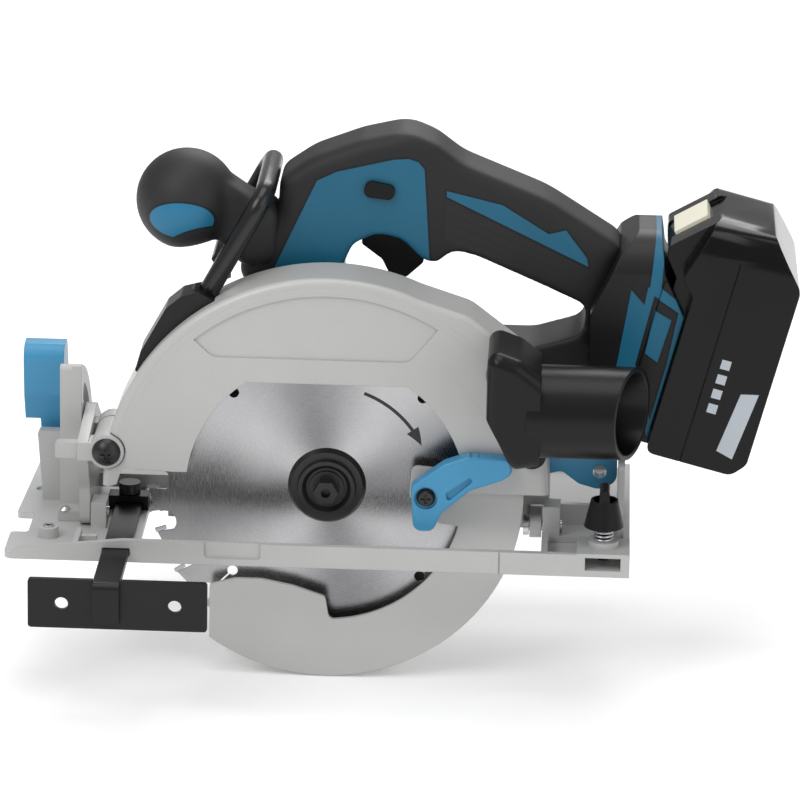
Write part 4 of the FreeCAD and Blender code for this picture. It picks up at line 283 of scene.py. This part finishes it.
def painted_metal(name, light, dark, roughness, coat=0.15, shine=0.5, lines=None):
    finish = Finish(name, roughness, 0.0, shine)
    finish.shader.inputs["Coat Weight"].default_value = coat
    clouds = finish.noise(35, 4)
    grain = finish.noise(PAINT_GRAIN, 2)
    finish.feed("Base Color", finish.mix(clouds * 0.55 + grain * 0.35, dark, light))
    finish.feed("Roughness", grain * 0.16 + (roughness - 0.08))
    if lines:
        finish.bump(grain * 0.1 + lines(finish), 0.6, 0.0004)
    else:
        finish.bump(grain, 0.10, 0.0002)
    return finish


guard_paint = painted_metal("guard_paint", PALE_GREY, SHADED_GREY, 0.36)
base_paint = painted_metal("base_paint", rgb(0.50, 0.50, 0.493), rgb(0.38, 0.38, 0.376), 0.42)
black_paint = painted_metal(
    "black_paint", rgb(0.009, 0.009, 0.010), rgb(0.004, 0.004, 0.0045), 0.34, 0.0, 0.3,
)
guard_paint.paint("lower_guard")
for name in ("base_plate", "front_quadrant", "rear_bracket", "tilt_frame"):
    base_paint.paint(name)
for name in ("guide_bar", "guide_fence", "rule_clamp", "hook_mount"):
    black_paint.paint(name)
print("paints:", guard_paint.material.name, base_paint.material.name, black_paint.material.name)

# %% [markdown]
# The upper guard is cast with raised lines that follow its rim. They are shallow, so they are
# relief in its finish: two narrow rings round the spindle, and a thin arrow line near the nozzle.

# %% Upper guard
SPINDLE_HEIGHT = 25.5 * MM
NEAR_FACE = -9 * MM
INNER_LINE = 95.5 * MM
OUTER_LINE = 98.2 * MM


def guard_lines(finish):
    """Height of the raised lines: 1 on a line and 0 beside it."""
    x, y, z = finish.place()
    above = z - SPINDLE_HEIGHT
    radius = (x * x + above * above).root()
    rim = ((radius - INNER_LINE).size() < 0.5 * MM).most((radius - OUTER_LINE).size() < 0.4 * MM)
    rim = rim * (above > 4 * MM) * (y < NEAR_FACE)
    # The arrow is one long falling line, and a short rising one that meets it at the tip.
    falling = (x * 1.32 + z - 160 * MM).size() < 0.5 * MM
    rising = (z - x * 0.42 - 37 * MM).size() < 0.5 * MM
    arrow = falling * (x > 57 * MM) * (z > 63 * MM)
    arrow = arrow.most(rising * (x > 66 * MM) * (x < 73 * MM)) * (y < NEAR_FACE) * (x < 74 * MM)
    return rim + arrow


guard_cast = painted_metal("guard_cast", PALE_GREY, SHADED_GREY, 0.36, lines=guard_lines)
guard_cast.paint("upper_guard")
print("guard lines at", round(INNER_LINE / MM, 1), "and", round(OUTER_LINE / MM, 1), "mm")

# %% [markdown]
# Small steel pieces are zinc plated or blackened. Plating shows fine scratches in every direction,
# so its roughness follows a fine noise; blackened steel is nearly black, with brown-grey rubbed
# patches and a dull shine.

# %% Plated, blackened and cast metal


def steel(name, light, dark, roughness, metallic=1.0, streak=(1, 1, 1)):
    finish = Finish(name, roughness, metallic)
    scratches = finish.noise(900, 6, streak, 0.7)
    patches = finish.noise(60, 3)
    finish.feed("Base Color", finish.mix(patches * 0.6 + scratches * 0.4, dark, light))
    finish.feed("Roughness", scratches * 0.22 + (roughness - 0.11))
    finish.bump(scratches, 0.12, 0.0001, 0.0003)
    return finish


plated = steel("plated_steel", rgb(0.72, 0.72, 0.74), rgb(0.50, 0.50, 0.52), 0.28)
blackened = steel("blackened_steel", rgb(0.045, 0.043, 0.042), rgb(0.015, 0.015, 0.016), 0.34, 0.55)
cast = steel("cast_alloy", rgb(0.55, 0.55, 0.56), rgb(0.40, 0.40, 0.41), 0.5, 0.85)
iron = steel("motor_iron", rgb(0.30, 0.30, 0.32), rgb(0.16, 0.16, 0.17), 0.5, 0.9)
for name in (
    "bevel_adjust_screw", "base_rivets", "clamp_spring", "guard_spring", "spindle", "inner_flange",
    "ball_bearings", "driven_gear", "pinion", "rotor_shaft", "shaft_lock", "depth_clamp_bolt",
):
    plated.paint(name)
for name in (
    "outer_flange", "blade_bolt", "hex_key", "body_screws", "guard_lever_screw",
    "bevel_lock_bolt", "rule_clamp_screw", "depth_pivot_bolt",
):
    blackened.paint(name)
cast.paint("gear_case")
for name in ("stator", "rotor_core"):
    iron.paint(name)
print("bare metals:", *(finish.material.name for finish in (plated, blackened, cast, iron)))

# %% [markdown]
# The blade is ground steel. Grinding leaves rings round its centre, so the relief and the roughness
# follow the distance from the spindle. On real steel the light breaks on such rings into bright
# fans. An anisotropic shader with a tangent round the centre could do that. Here four soft fans
# are painted as a slow change of tone, because the export bakes a colour, and so they stay where
# they are when the view moves. A turning arrow is printed on the side: a narrow arc between two
# angles, with a point at its end.

# %% Blade
GRIND_SCALE = 2600.0
FANS = 4
FAN_TURN = 2.4
ARROW_RADIUS = 47.5 * MM
ARROW_TAIL, ARROW_NECK = 1.22, 0.60
POINT_BASE, POINT_TIP = 0.62, 0.44


def blade_finish():
    finish = Finish("blade_steel", 0.3, 1.0)
    x, y, z = finish.place()
    above = z - SPINDLE_HEIGHT
    radius = (x * x + above * above).root()
    angle = above.join("ARCTAN2", above, x)
    ring = finish.node("CombineXYZ", {}, {"X": radius, "Y": angle * 0.004}).outputs[0]
    grind = finish.node("TexNoise", {}, {"Vector": ring, "Scale": GRIND_SCALE, "Detail": 5.0})
    grind = Number(finish, grind.outputs["Fac"])
    tarnish = finish.noise(28, 4)
    from_arrow = (radius - ARROW_RADIUS).size()
    arc = (from_arrow < 0.8 * MM) * (angle > ARROW_NECK) * (angle < ARROW_TAIL)
    point_width = (angle - POINT_TIP) * 0.018
    head = (from_arrow < point_width) * (angle > POINT_TIP) * (angle < POINT_BASE)
    print_mask = arc.most(head) * (y < 0)
    fan = angle.join("COSINE", angle * FANS + FAN_TURN)
    shade = fan * 0.28 + grind * 0.35 + tarnish * 0.35 + 0.1
    bare = finish.mix(shade, rgb(0.17, 0.17, 0.175), rgb(0.55, 0.55, 0.56))
    finish.feed("Base Color", finish.mix(print_mask, bare, rgb(0.02, 0.02, 0.02)))
    finish.feed("Roughness", grind * 0.20 + 0.16 + print_mask * 0.2)
    finish.feed("Metallic", 1 - print_mask)
    finish.bump(grind, 0.10, 0.0001, 0.0002)
    return finish


blade_finish().paint("saw_blade")
steel("carbide", rgb(0.50, 0.50, 0.52), rgb(0.33, 0.33, 0.35), 0.3).paint("carbide_tips")
print("blade has", FANS, "fans and an arrow at", round(ARROW_RADIUS / MM, 1), "mm")

# %% [markdown]
# Moulded plastic comes out of a steel mould that was etched with a fine texture, and the soft
# overmould on the handles has a deeper one. Both are a noise of the right size as relief. The
# colour wanders only a little, because plastic is coloured all through. The floor's paper and the
# cells' wrapping are made by the same function, and the lamp's lens is a frosted clear plastic.

# %% Plastics and rubber
PLASTIC_GRAIN = 1500
RUBBER_GRAIN = 1900
CLOUDS = 30
TEAL_LIGHT = rgb(0.010, 0.125, 0.215)
TEAL_DARK = rgb(0.006, 0.095, 0.17)


def moulded(name, light, dark, roughness, grain=PLASTIC_GRAIN, relief=0.12, coat=0.0, shine=0.3):
    finish = Finish(name, roughness, 0.0, shine)
    finish.shader.inputs["Coat Weight"].default_value = coat
    texture = finish.noise(grain, 3)
    clouds = finish.noise(CLOUDS, 3)
    finish.feed("Base Color", finish.mix(clouds * 0.6 + texture * 0.4, dark, light))
    finish.feed("Roughness", texture * 0.16 + (roughness - 0.08))
    finish.bump(texture, relief, 0.0003, 0.0008)
    return finish


lever_blue = moulded("lever_blue", rgb(0.060, 0.30, 0.52), rgb(0.040, 0.23, 0.42), 0.38, coat=0.2)
teal = moulded("housing_teal", TEAL_LIGHT, TEAL_DARK, 0.42)
black_plastic = moulded(
    "black_plastic", rgb(0.007, 0.007, 0.008), rgb(0.004, 0.004, 0.0045), 0.44, shine=0.2,
)
nozzle_black = moulded(
    "nozzle_black", rgb(0.006, 0.006, 0.007), rgb(0.003, 0.003, 0.0035), 0.32, shine=0.25,
)
cream = moulded("cream_plastic", rgb(0.80, 0.78, 0.64), rgb(0.70, 0.68, 0.55), 0.4)
for name in ("bevel_lever", "guard_lever", "depth_lever"):
    lever_blue.paint(name)
teal.paint("motor_end_cover")
for name in (
    "cooling_fan", "motor_housing", "trigger", "switch_module", "terminal_block",
    "lock_off_button", "guide_clamp_screw",
):
    black_plastic.paint(name)
nozzle_black.paint("dust_nozzle")
moulded("cell_wrap", rgb(0.03, 0.20, 0.10), rgb(0.02, 0.15, 0.08), 0.4).paint("battery_cells")
moulded("board_green", rgb(0.01, 0.09, 0.04), rgb(0.01, 0.06, 0.03), 0.35).paint("control_board")
paper = moulded("floor_paper", rgb(0.93, 0.93, 0.93), rgb(0.91, 0.91, 0.91), 0.8, 60, 0.0)
paper.shader.inputs["Emission Strength"].default_value = 0.16
paper.feed("Emission Color", paper.mix(paper.noise(4), rgb(1, 1, 1), rgb(0.97, 0.97, 0.97)))
paper.paint(floor)


def lens_finish():
    finish = Finish("lamp_lens", 0.12)
    finish.shader.inputs["Transmission Weight"].default_value = 0.6
    frost = finish.noise(700, 2)
    finish.feed("Base Color", finish.mix(frost, rgb(0.85, 0.86, 0.82), rgb(0.95, 0.95, 0.92)))
    finish.feed("Roughness", frost * 0.2 + 0.08)
    return finish


lens_finish().paint("work_light_lens")
print("finishes so far:", len(bpy.data.materials))

# %% [markdown]
# ## Modelling helpers
#
# A slab starts as a filled circle primitive whose points are moved onto an outline of the side
# view, and is then extruded across the saw. Every corner of an outline has a radius, so one helper
# turns corners into short arcs. Each helper starts with nothing selected, because an operator acts
# on all that is selected.

# %% Slabs and soft shapes


def rounded(corners, steps=4):
    """Points round an outline of (x, z, radius) corners in millimetres."""
    points = []
    for index, (x, z, radius) in enumerate(corners):
        corner = Vector((x, z))
        before = Vector(corners[index - 1][:2]) - corner
        after = Vector(corners[(index + 1) % len(corners)][:2]) - corner
        half = before.angle(after) / 2
        reach = min(radius / math.tan(half), 0.45 * before.length, 0.45 * after.length)
        if reach < 0.05:
            points.append((x, z))
            continue
        start = corner + before.normalized() * reach
        end = corner + after.normalized() * reach
        for step in range(steps + 1):
            share = step / steps
            point = start * (1 - share) ** 2 + corner * (2 * share * (1 - share)) + end * share ** 2
            points.append((point.x, point.y))
    return points


def start_fresh():
    bpy.ops.object.select_all(action="DESELECT")


def slab(name, corners, near, far):
    """A solid with a rounded outline in the side view, from level near to level far."""
    start_fresh()
    points = rounded(corners)
    bpy.ops.mesh.primitive_circle_add(vertices=len(points), radius=0.1, fill_type="NGON")
    piece = bpy.context.object
    piece.name = name
    for vertex, (x, z) in zip(piece.data.vertices, points):
        vertex.co = (x * MM, near * MM, z * MM)
    bpy.ops.object.mode_set(mode="EDIT")
    bpy.ops.mesh.select_all(action="SELECT")
    bpy.ops.mesh.extrude_region_move(TRANSFORM_OT_translate={"value": (0, (far - near) * MM, 0)})
    bpy.ops.mesh.select_all(action="SELECT")
    bpy.ops.mesh.normals_make_consistent(inside=False)
    bpy.ops.object.mode_set(mode="OBJECT")
    return piece


def swell_ends(piece, near, far, steps):
    """Builds both side faces outwards in steps of (inset, rise), so that the edge turns over."""
    bpy.ops.object.mode_set(mode="EDIT")
    bpy.ops.mesh.select_mode(type="FACE")
    for level, outward in ((near, -1), (far, 1)):
        bpy.ops.mesh.select_all(action="DESELECT")
        bpy.ops.object.mode_set(mode="OBJECT")
        for face in piece.data.polygons:
            face.select = abs(face.center.y - level * MM) < 0.02 * MM
        bpy.ops.object.mode_set(mode="EDIT")
        for inset, rise in steps:
            bpy.ops.mesh.inset(thickness=inset * MM, depth=0)
            bpy.ops.transform.translate(value=(0, outward * rise * MM, 0))
    bpy.ops.object.mode_set(mode="OBJECT")


def apply_modifier(piece, kind, **settings):
    bpy.context.view_layer.objects.active = piece
    modifier = piece.modifiers.new(kind.title(), kind)
    for name, setting in settings.items():
        setattr(modifier, name, setting)
    bpy.ops.object.modifier_apply(modifier=modifier.name)


def cut_away(piece, cutter):
    apply_modifier(piece, "BOOLEAN", operation="DIFFERENCE", object=cutter, solver="EXACT")
    bpy.data.objects.remove(cutter)


def soften(piece, voxel, passes):
    """Rebuilds the surface from even cells and smooths it, as a moulded part's edges are."""
    apply_modifier(piece, "REMESH", mode="VOXEL", voxel_size=voxel * MM, use_smooth_shade=True)
    apply_modifier(piece, "SMOOTH", factor=0.5, iterations=passes)
    print(piece.name, "has", len(piece.data.polygons), "faces")


def ease_edges(piece, width, segments=3, limit=35):
    apply_modifier(piece, "BEVEL", width=width * MM, segments=segments, limit_method="ANGLE",
                   angle_limit=math.radians(limit))
    start_fresh()
    piece.select_set(True)
    bpy.context.view_layer.objects.active = piece
    bpy.ops.object.shade_smooth_by_angle(angle=math.radians(40))


def belongs(piece, finish, body, material_slot, *replaced):
    """Finishes a piece, puts it on its moving body and hides the CAD nodes it stands for."""
    finish.paint(piece)
    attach(piece, body)
    if replaced:
        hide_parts(*replaced)


# %% [markdown]
# ## Handle
#
# The main handle is two plastic shells with a soft overmould along the top. It could be boxed up
# and subdivided, but its finger gap and its legs make a hard cage. Here the side view is extruded,
# and its sides are built out in insets so that the edges turn over. Insets cross one another at
# tight corners, so a voxel remesh first makes one clean skin. The finger gap is cut out of that, and
# a second remesh with more smoothing turns the steps into moulded curves.

# %% Handle shape
HANDLE_NEAR, HANDLE_FAR = 28, 52
SIDE_STEPS = [(0.9, 2.6), (1.8, 2.0), (3.2, 1.4), (3.0, 0.4)]
handle = slab("handle_body", [
    (-40, 75, 2), (-40, 112, 8), (-44, 120, 8), (-25.5, 149, 8), (-25, 163, 7), (-10, 173.5, 30),
    (12, 182, 30), (33, 187, 22), (46, 181.5, 20), (58, 172.5, 30), (97, 157, 60), (133, 134.5, 8),
    (124, 108, 12), (119, 75, 2),
], HANDLE_NEAR, HANDLE_FAR)
swell_ends(handle, HANDLE_NEAR, HANDLE_FAR, SIDE_STEPS)
soften(handle, 1.2, 6)
gap = slab("gap_cutter", [
    (5, 87, 8), (4, 122, 6), (9, 134, 8), (20, 139.5, 12), (31, 137, 8), (41, 127.5, 5), (47, 126, 5),
    (55, 132.5, 8), (66, 129.8, 20), (96, 117, 40), (116, 108, 6), (115, 94, 8), (92, 87, 20),
], 10, 70)
cut_away(handle, gap)
soften(handle, 1.0, 16)

# %% [markdown]
# The handle's colours meet along sharp lines: a teal side panel in front, a soft black overmould
# on top, and behind it a ribbed panel with a teal blade above. They are one moulding, so they are
# painted by masks. A straight-sided region is where the point is inside all of its edges, which is
# the least of the distances to them, so one function gives a depth that is positive inside.

# %% Handle finish
RIB_PITCH = 4.4 * MM
RIB_SLANT = 0.42


def depth_inside(x, z, corners):
    """Distance in metres inside a straight-sided region, its corners listed clockwise."""
    least = None
    for index, (a, b) in enumerate(corners):
        c, d = corners[(index + 1) % len(corners)]
        length = math.hypot(c - a, d - b)
        across, along = (d - b) / length, (a - c) / length
        distance = x * across + z * along - (a * across + b * along) * MM
        least = distance if least is None else least.least(distance)
    return least


def handle_finish():
    finish = Finish("handle_shell", 0.5, 0.0, 0.35)
    x, _, z = finish.place()
    panel = depth_inside(x, z, [
        (-36, 60), (-36, 100), (-29, 118), (-8, 164), (1, 168.5), (27, 175), (34, 175.5), (38.5, 174),
        (41.5, 170.5), (44.5, 128), (44.5, 60),
    ])
    blade = depth_inside(x, z, [(51, 161), (77, 155), (116, 131), (117, 126), (51, 157.5)])
    tip = depth_inside(x, z, [(98, 142), (106, 144), (116, 131), (117, 126), (92, 138)])
    blade = blade.most(tip)
    ribs = depth_inside(x, z, [(51, 157), (117, 125), (108, 113.5), (51, 136)])
    soft = depth_inside(x, z, [
        (-26, 151), (-26, 190), (60, 190), (113, 152), (108, 144), (98, 142), (77, 152), (48, 163),
        (30, 178), (-8, 166),
    ])
    teal_mask = panel.most(blade) > 0
    seam = (panel.size() < 0.45 * MM).most(blade.size() < 0.4 * MM)
    grain = finish.noise(RUBBER_GRAIN, 3)
    clouds = finish.noise(CLOUDS, 3)
    dark = finish.mix(grain * 0.5 + clouds * 0.4, rgb(0.006, 0.006, 0.007), rgb(0.020, 0.020, 0.022))
    blue = finish.mix(clouds, TEAL_DARK, TEAL_LIGHT)
    coloured = finish.mix(teal_mask, dark, blue)
    finish.feed("Base Color", finish.mix(seam, coloured, rgb(0.004, 0.006, 0.008)))
    finish.feed("Roughness", grain * 0.14 + 0.50 - teal_mask * 0.14 - (ribs > 0) * 0.12)
    stripe = (z + x * RIB_SLANT) / RIB_PITCH
    rib = ((stripe.part() < 0.2) * (ribs > 0)).most(ribs.size() < 0.5 * MM) * (1 - (blade > 0))
    soft_mask = (soft > 0) * (1 - teal_mask)
    height = grain * (soft_mask * 0.22 + 0.04) - rib * 1.6 - seam * 0.8
    finish.bump(height, 1.0, 0.0009)
    return finish


belongs(handle, handle_finish(), "saw_body", "housing_blue", "housing_near", "housing_far")

# %% [markdown]
# The rear housing has a teal frame along the battery, a dark inlaid panel in it with a small plain
# teal block, and one slanted teal stripe in front. The same masks paint both of its CAD nodes.

# %% Rear housing finish


def rear_finish():
    finish = Finish("rear_housing", 0.42, 0.0, 0.3)
    x, _, z = finish.place()
    frame_band = depth_inside(x, z, [
        (143.5, 122), (150, 122), (164, 111), (164, 100), (149, 46), (145, 50), (137, 84),
    ])
    upper_band = depth_inside(x, z, [(147.5, 152), (152.5, 152), (150, 119), (144, 119)])
    panel = depth_inside(x, z, [(147, 117), (157.5, 110), (153, 86), (146.5, 60), (139.5, 85)])
    block = depth_inside(x, z, [(146.9, 111.6), (155.3, 106.8), (149.3, 85.7), (142.9, 90.4)])
    stripe = depth_inside(x, z, [(136, 121), (144, 112), (139, 83), (130, 83)])
    outer = frame_band.most(upper_band).most(stripe)
    teal_mask = ((outer > 0) * (panel < 0)).most(block > 0)
    line = 0.4 * MM
    seam = (outer.size() < line).most(panel.size() < line).most(block.size() < line)
    grain = finish.noise(PLASTIC_GRAIN, 3)
    clouds = finish.noise(CLOUDS, 3)
    dark = finish.mix(clouds, rgb(0.004, 0.004, 0.0045), rgb(0.008, 0.008, 0.009))
    blue = finish.mix(clouds, TEAL_DARK, TEAL_LIGHT)
    coloured = finish.mix(teal_mask, dark, blue)
    finish.feed("Base Color", finish.mix(seam, coloured, rgb(0.003, 0.005, 0.007)))
    finish.feed("Roughness", grain * 0.16 + 0.34)
    finish.bump(grain * 0.1 - seam * 0.8 - (panel > 0) * 0.5 + (block > 0) * 0.5, 0.8, 0.0006, 0.0009)
    return finish


rear_paint = rear_finish()
for name in ("terminal_frame", "terminal_housing"):
    rear_paint.paint(name)
print("rear housing painted with", rear_paint.material.name)

# %% [markdown]
# ## Front grip
#
# The front grip is a mushroom: a ball, cut off flat below, on a neck that grows out of the handle's
# nose. Ball and neck are joined as they are, and the voxel remesh melts them into one skin, which
# the smoothing then fills out at the joint. The blue pad in its side is painted: an ellipse with a
# circle taken out of its lower edge.

# %% Front grip
GRIP_RADIUS = 23.4 * MM
GRIP_CENTRE = (-67.6 * MM, 33 * MM, 150.3 * MM)
PAD_CENTRE = (-68.5 * MM, 145.6 * MM)
PAD_HALF_WIDTH, PAD_HALF_HEIGHT = 15.4 * MM, 9.2 * MM
PAD_BACK = 30 * MM
BITE_CENTRE = (-56 * MM, 116.5 * MM)
BITE_RADIUS = 25.8 * MM

start_fresh()
bpy.ops.mesh.primitive_uv_sphere_add(segments=48, ring_count=24, radius=GRIP_RADIUS)
grip = bpy.context.object
grip.name = "front_grip_body"
grip.data.transform(Matrix.Translation(GRIP_CENTRE))
under = slab("grip_underside", [(-100, 122, 0), (-35, 138.5, 0), (-35, 110, 0), (-100, 110, 0)], 0, 70)
cut_away(grip, under)
neck = slab("grip_neck", [
    (-64, 166, 0), (-52, 164, 0), (-38, 154.5, 0), (-24.5, 150.5, 0), (-24.5, 122, 0), (-42, 120.5, 0),
    (-51, 134, 0), (-66, 134, 0),
], 19.5, 46.5)
ease_edges(neck, 6, 3, 50)
start_fresh()
neck.select_set(True)
grip.select_set(True)
bpy.context.view_layer.objects.active = grip
bpy.ops.object.join()
soften(grip, 1.0, 20)


def grip_finish():
    finish = Finish("grip_rubber", 0.6, 0.0, 0.4)
    x, y, z = finish.place()
    across = (x - PAD_CENTRE[0]) / PAD_HALF_WIDTH
    above = (z - PAD_CENTRE[1]) / PAD_HALF_HEIGHT
    oval = (across * across + above * above).root()
    bite_x = x - BITE_CENTRE[0]
    bite_z = z - BITE_CENTRE[1]
    bite = (bite_x * bite_x + bite_z * bite_z).root()
    inside = (oval < 1.0) * (bite > BITE_RADIUS) * (y < PAD_BACK)
    rim = ((oval - 1).size() < 0.045).most((bite - BITE_RADIUS).size() < 0.4 * MM)
    rim = rim * (oval < 1.05) * (bite > BITE_RADIUS - 0.5 * MM) * (y < PAD_BACK)
    grain = finish.noise(RUBBER_GRAIN, 3)
    clouds = finish.noise(CLOUDS, 3)
    dark = finish.mix(
        grain * 0.5 + clouds * 0.4, rgb(0.008, 0.008, 0.009), rgb(0.024, 0.024, 0.026),
    )
    blue = finish.mix(clouds, rgb(0.010, 0.145, 0.27), rgb(0.015, 0.175, 0.32))
    coloured = finish.mix(inside, dark, blue)
    finish.feed("Base Color", finish.mix(rim, coloured, rgb(0.004, 0.006, 0.008)))
    finish.feed("Roughness", grain * 0.12 + 0.50 - inside * 0.14)
    finish.bump(grain * 0.12 - rim * 0.8, 0.8, 0.0006)
    return finish


belongs(grip, grip_finish(), "saw_body", "black_plastic", "front_grip", "grip_insert")

# %% [markdown]
# ## Hanging hook
#
# The hook is one bent steel bar: a leg, a cross bar and a returned tip. A circle is extruded for
# each straight run and spun for each bend, standing upright first; then its mesh is leant over and
# moved to its mount in one go.

# %% Hook
BAR_RADIUS = 4.6 * MM
BEND = 10.0 * MM
LEG_FOOT = 2.5 * MM
LEG_TOP = 59.5 * MM
REACH = 68.0 * MM
TIP = 34.0 * MM
HOOK_FOOT = (-58.6 * MM, 4 * MM, 109 * MM)
HOOK_AXIS = (0.4775, 0.8786)


def run_on(offset):
    bpy.ops.mesh.extrude_region_move(TRANSFORM_OT_translate={"value": offset})


def bend_towards(centre):
    bpy.ops.mesh.spin(steps=8, angle=math.radians(90), center=centre, axis=(1, 0, 0))


start_fresh()
bpy.ops.mesh.primitive_circle_add(
    vertices=24, radius=BAR_RADIUS, location=(0, 0, LEG_FOOT), fill_type="NGON",
)
hook = bpy.context.object
hook.name = "hook_bar"
bpy.ops.object.transform_apply(location=True)
bpy.ops.object.mode_set(mode="EDIT")
bpy.ops.mesh.select_all(action="SELECT")
run_on((0, 0, LEG_TOP - BEND - LEG_FOOT))
bend_towards((0, BEND, LEG_TOP - BEND))
run_on((0, REACH - 2 * BEND, 0))
bend_towards((0, REACH - BEND, LEG_TOP - BEND))
run_on((0, 0, -(TIP - BEND)))
bpy.ops.mesh.select_all(action="SELECT")
bpy.ops.mesh.remove_doubles(threshold=0.00001)
bpy.ops.mesh.normals_make_consistent(inside=False)
bpy.ops.object.mode_set(mode="OBJECT")
lean = Matrix.Rotation(math.atan2(*HOOK_AXIS), 4, "Y")
hook.data.transform(Matrix.Translation(HOOK_FOOT) @ lean)
ease_edges(hook, 0.8)
hook_paint = painted_metal(
    "hook_coating", rgb(0.010, 0.010, 0.011), rgb(0.005, 0.005, 0.006), 0.24, 0.0, 0.45,
)
belongs(hook, hook_paint, "hook", "black_steel", "hook")
print("hook reaches", round(hook.dimensions.y / MM, 1), "mm across")

# %% [markdown]
# ## Battery
#
# The battery is a glossy case that stands slanted on the saw. It could be drawn slanted, but its
# numbers are plainer upright. So it stands square first: a body block and a rail block are joined,
# cut to rounded shoulders, and given a pocket for the release button and a parting line. Then the
# mesh is leant over by the tilt of the CAD's battery and set on its foot.

# %% Battery shape
BATTERY_LEAN = math.radians(14.4)
BATTERY_FOOT = Vector((191 * MM, 0, 38 * MM))
BAR_PITCH = 7.2 * MM

battery = slab("battery_body", [
    (-46.3, -4.7, 4), (-6, -4.7, 6), (-0.3, 2, 6), (-0.3, 88, 8), (-18.2, 108.2, 6), (-44.6, 108.2, 5),
    (-53.3, 79, 4), (-46.3, 72, 3),
], 2.8, 77.2)
tongue = slab("battery_tongue", [
    (-39, -3.7, 0), (-55.2, -3.7, 2), (-55.2, 76, 2), (-61.6, 84, 2), (-62.6, 89, 3), (-45, 106, 2),
    (-39, 106, 0),
], 13.3, 66.7)
apply_modifier(battery, "BOOLEAN", operation="UNION", object=tongue, solver="EXACT")
bpy.data.objects.remove(tongue)
shoulders = slab("shoulder_shape", [
    (2.6, -30, 0), (2.6, 108.3, 18), (77.4, 108.3, 18), (77.4, -30, 0),
], -20, 95)
shoulders.data.transform(Matrix.Rotation(math.radians(90), 4, "Z"))
apply_modifier(battery, "BOOLEAN", operation="INTERSECT", object=shoulders, solver="EXACT")
bpy.data.objects.remove(shoulders)
pocket = slab("button_pocket", [
    (-64, 88, 0), (-62, 92.5, 0), (-46.5, 106, 0), (-40, 112, 0), (-70, 112, 0),
], 26.5, 53.5)
pocket.data.transform(Matrix.Translation((1.4 * MM, 0, -2.4 * MM)))
cut_away(battery, pocket)
seam = slab("seam_cutter", [
    (-30.5, -10, 0), (-29.9, -10, 0), (-29.9, 120, 0), (-30.5, 120, 0),
], 0, 3.2)
cut_away(battery, seam)
battery.data.transform(Matrix.Translation(BATTERY_FOOT) @ Matrix.Rotation(BATTERY_LEAN, 4, "Y"))
ease_edges(battery, 1.3)


def battery_finish():
    finish = Finish("battery_shell", 0.16, 0.0, 0.22)
    x, y, z = finish.place()
    side, rise = math.sin(BATTERY_LEAN), math.cos(BATTERY_LEAN)
    across = (x - BATTERY_FOOT.x) * rise - (z - BATTERY_FOOT.z) * side
    up = (x - BATTERY_FOOT.x) * side + (z - BATTERY_FOOT.z) * rise
    label = depth_inside(across, up, [(-15.5, 5), (-12.5, 34), (-4.5, 36), (-7.5, 3)])
    dots = (up / BAR_PITCH).part()
    gauge = ((across + 23 * MM).size() < 2.2 * MM) * (up > 20 * MM) * (up < 48.8 * MM) * (dots < 0.62)
    band = (label > 0).most(gauge) * (y < 4 * MM)
    dust = finish.noise(400, 4)
    clouds = finish.noise(25, 3)
    shell = finish.mix(clouds, rgb(0.002, 0.002, 0.0025), rgb(0.004, 0.004, 0.0045))
    finish.feed("Base Color", finish.mix(band, shell, rgb(0.42, 0.46, 0.50)))
    finish.feed("Roughness", dust * 0.08 + 0.11 + band * 0.2)
    finish.bump(clouds, 0.05, 0.0002, 0.0008)
    return finish


belongs(battery, battery_finish(), "battery", "gloss_black", "battery_case", "battery_cover")
cream.paint("battery_release_button")
print("battery has", len(battery.data.polygons), "faces")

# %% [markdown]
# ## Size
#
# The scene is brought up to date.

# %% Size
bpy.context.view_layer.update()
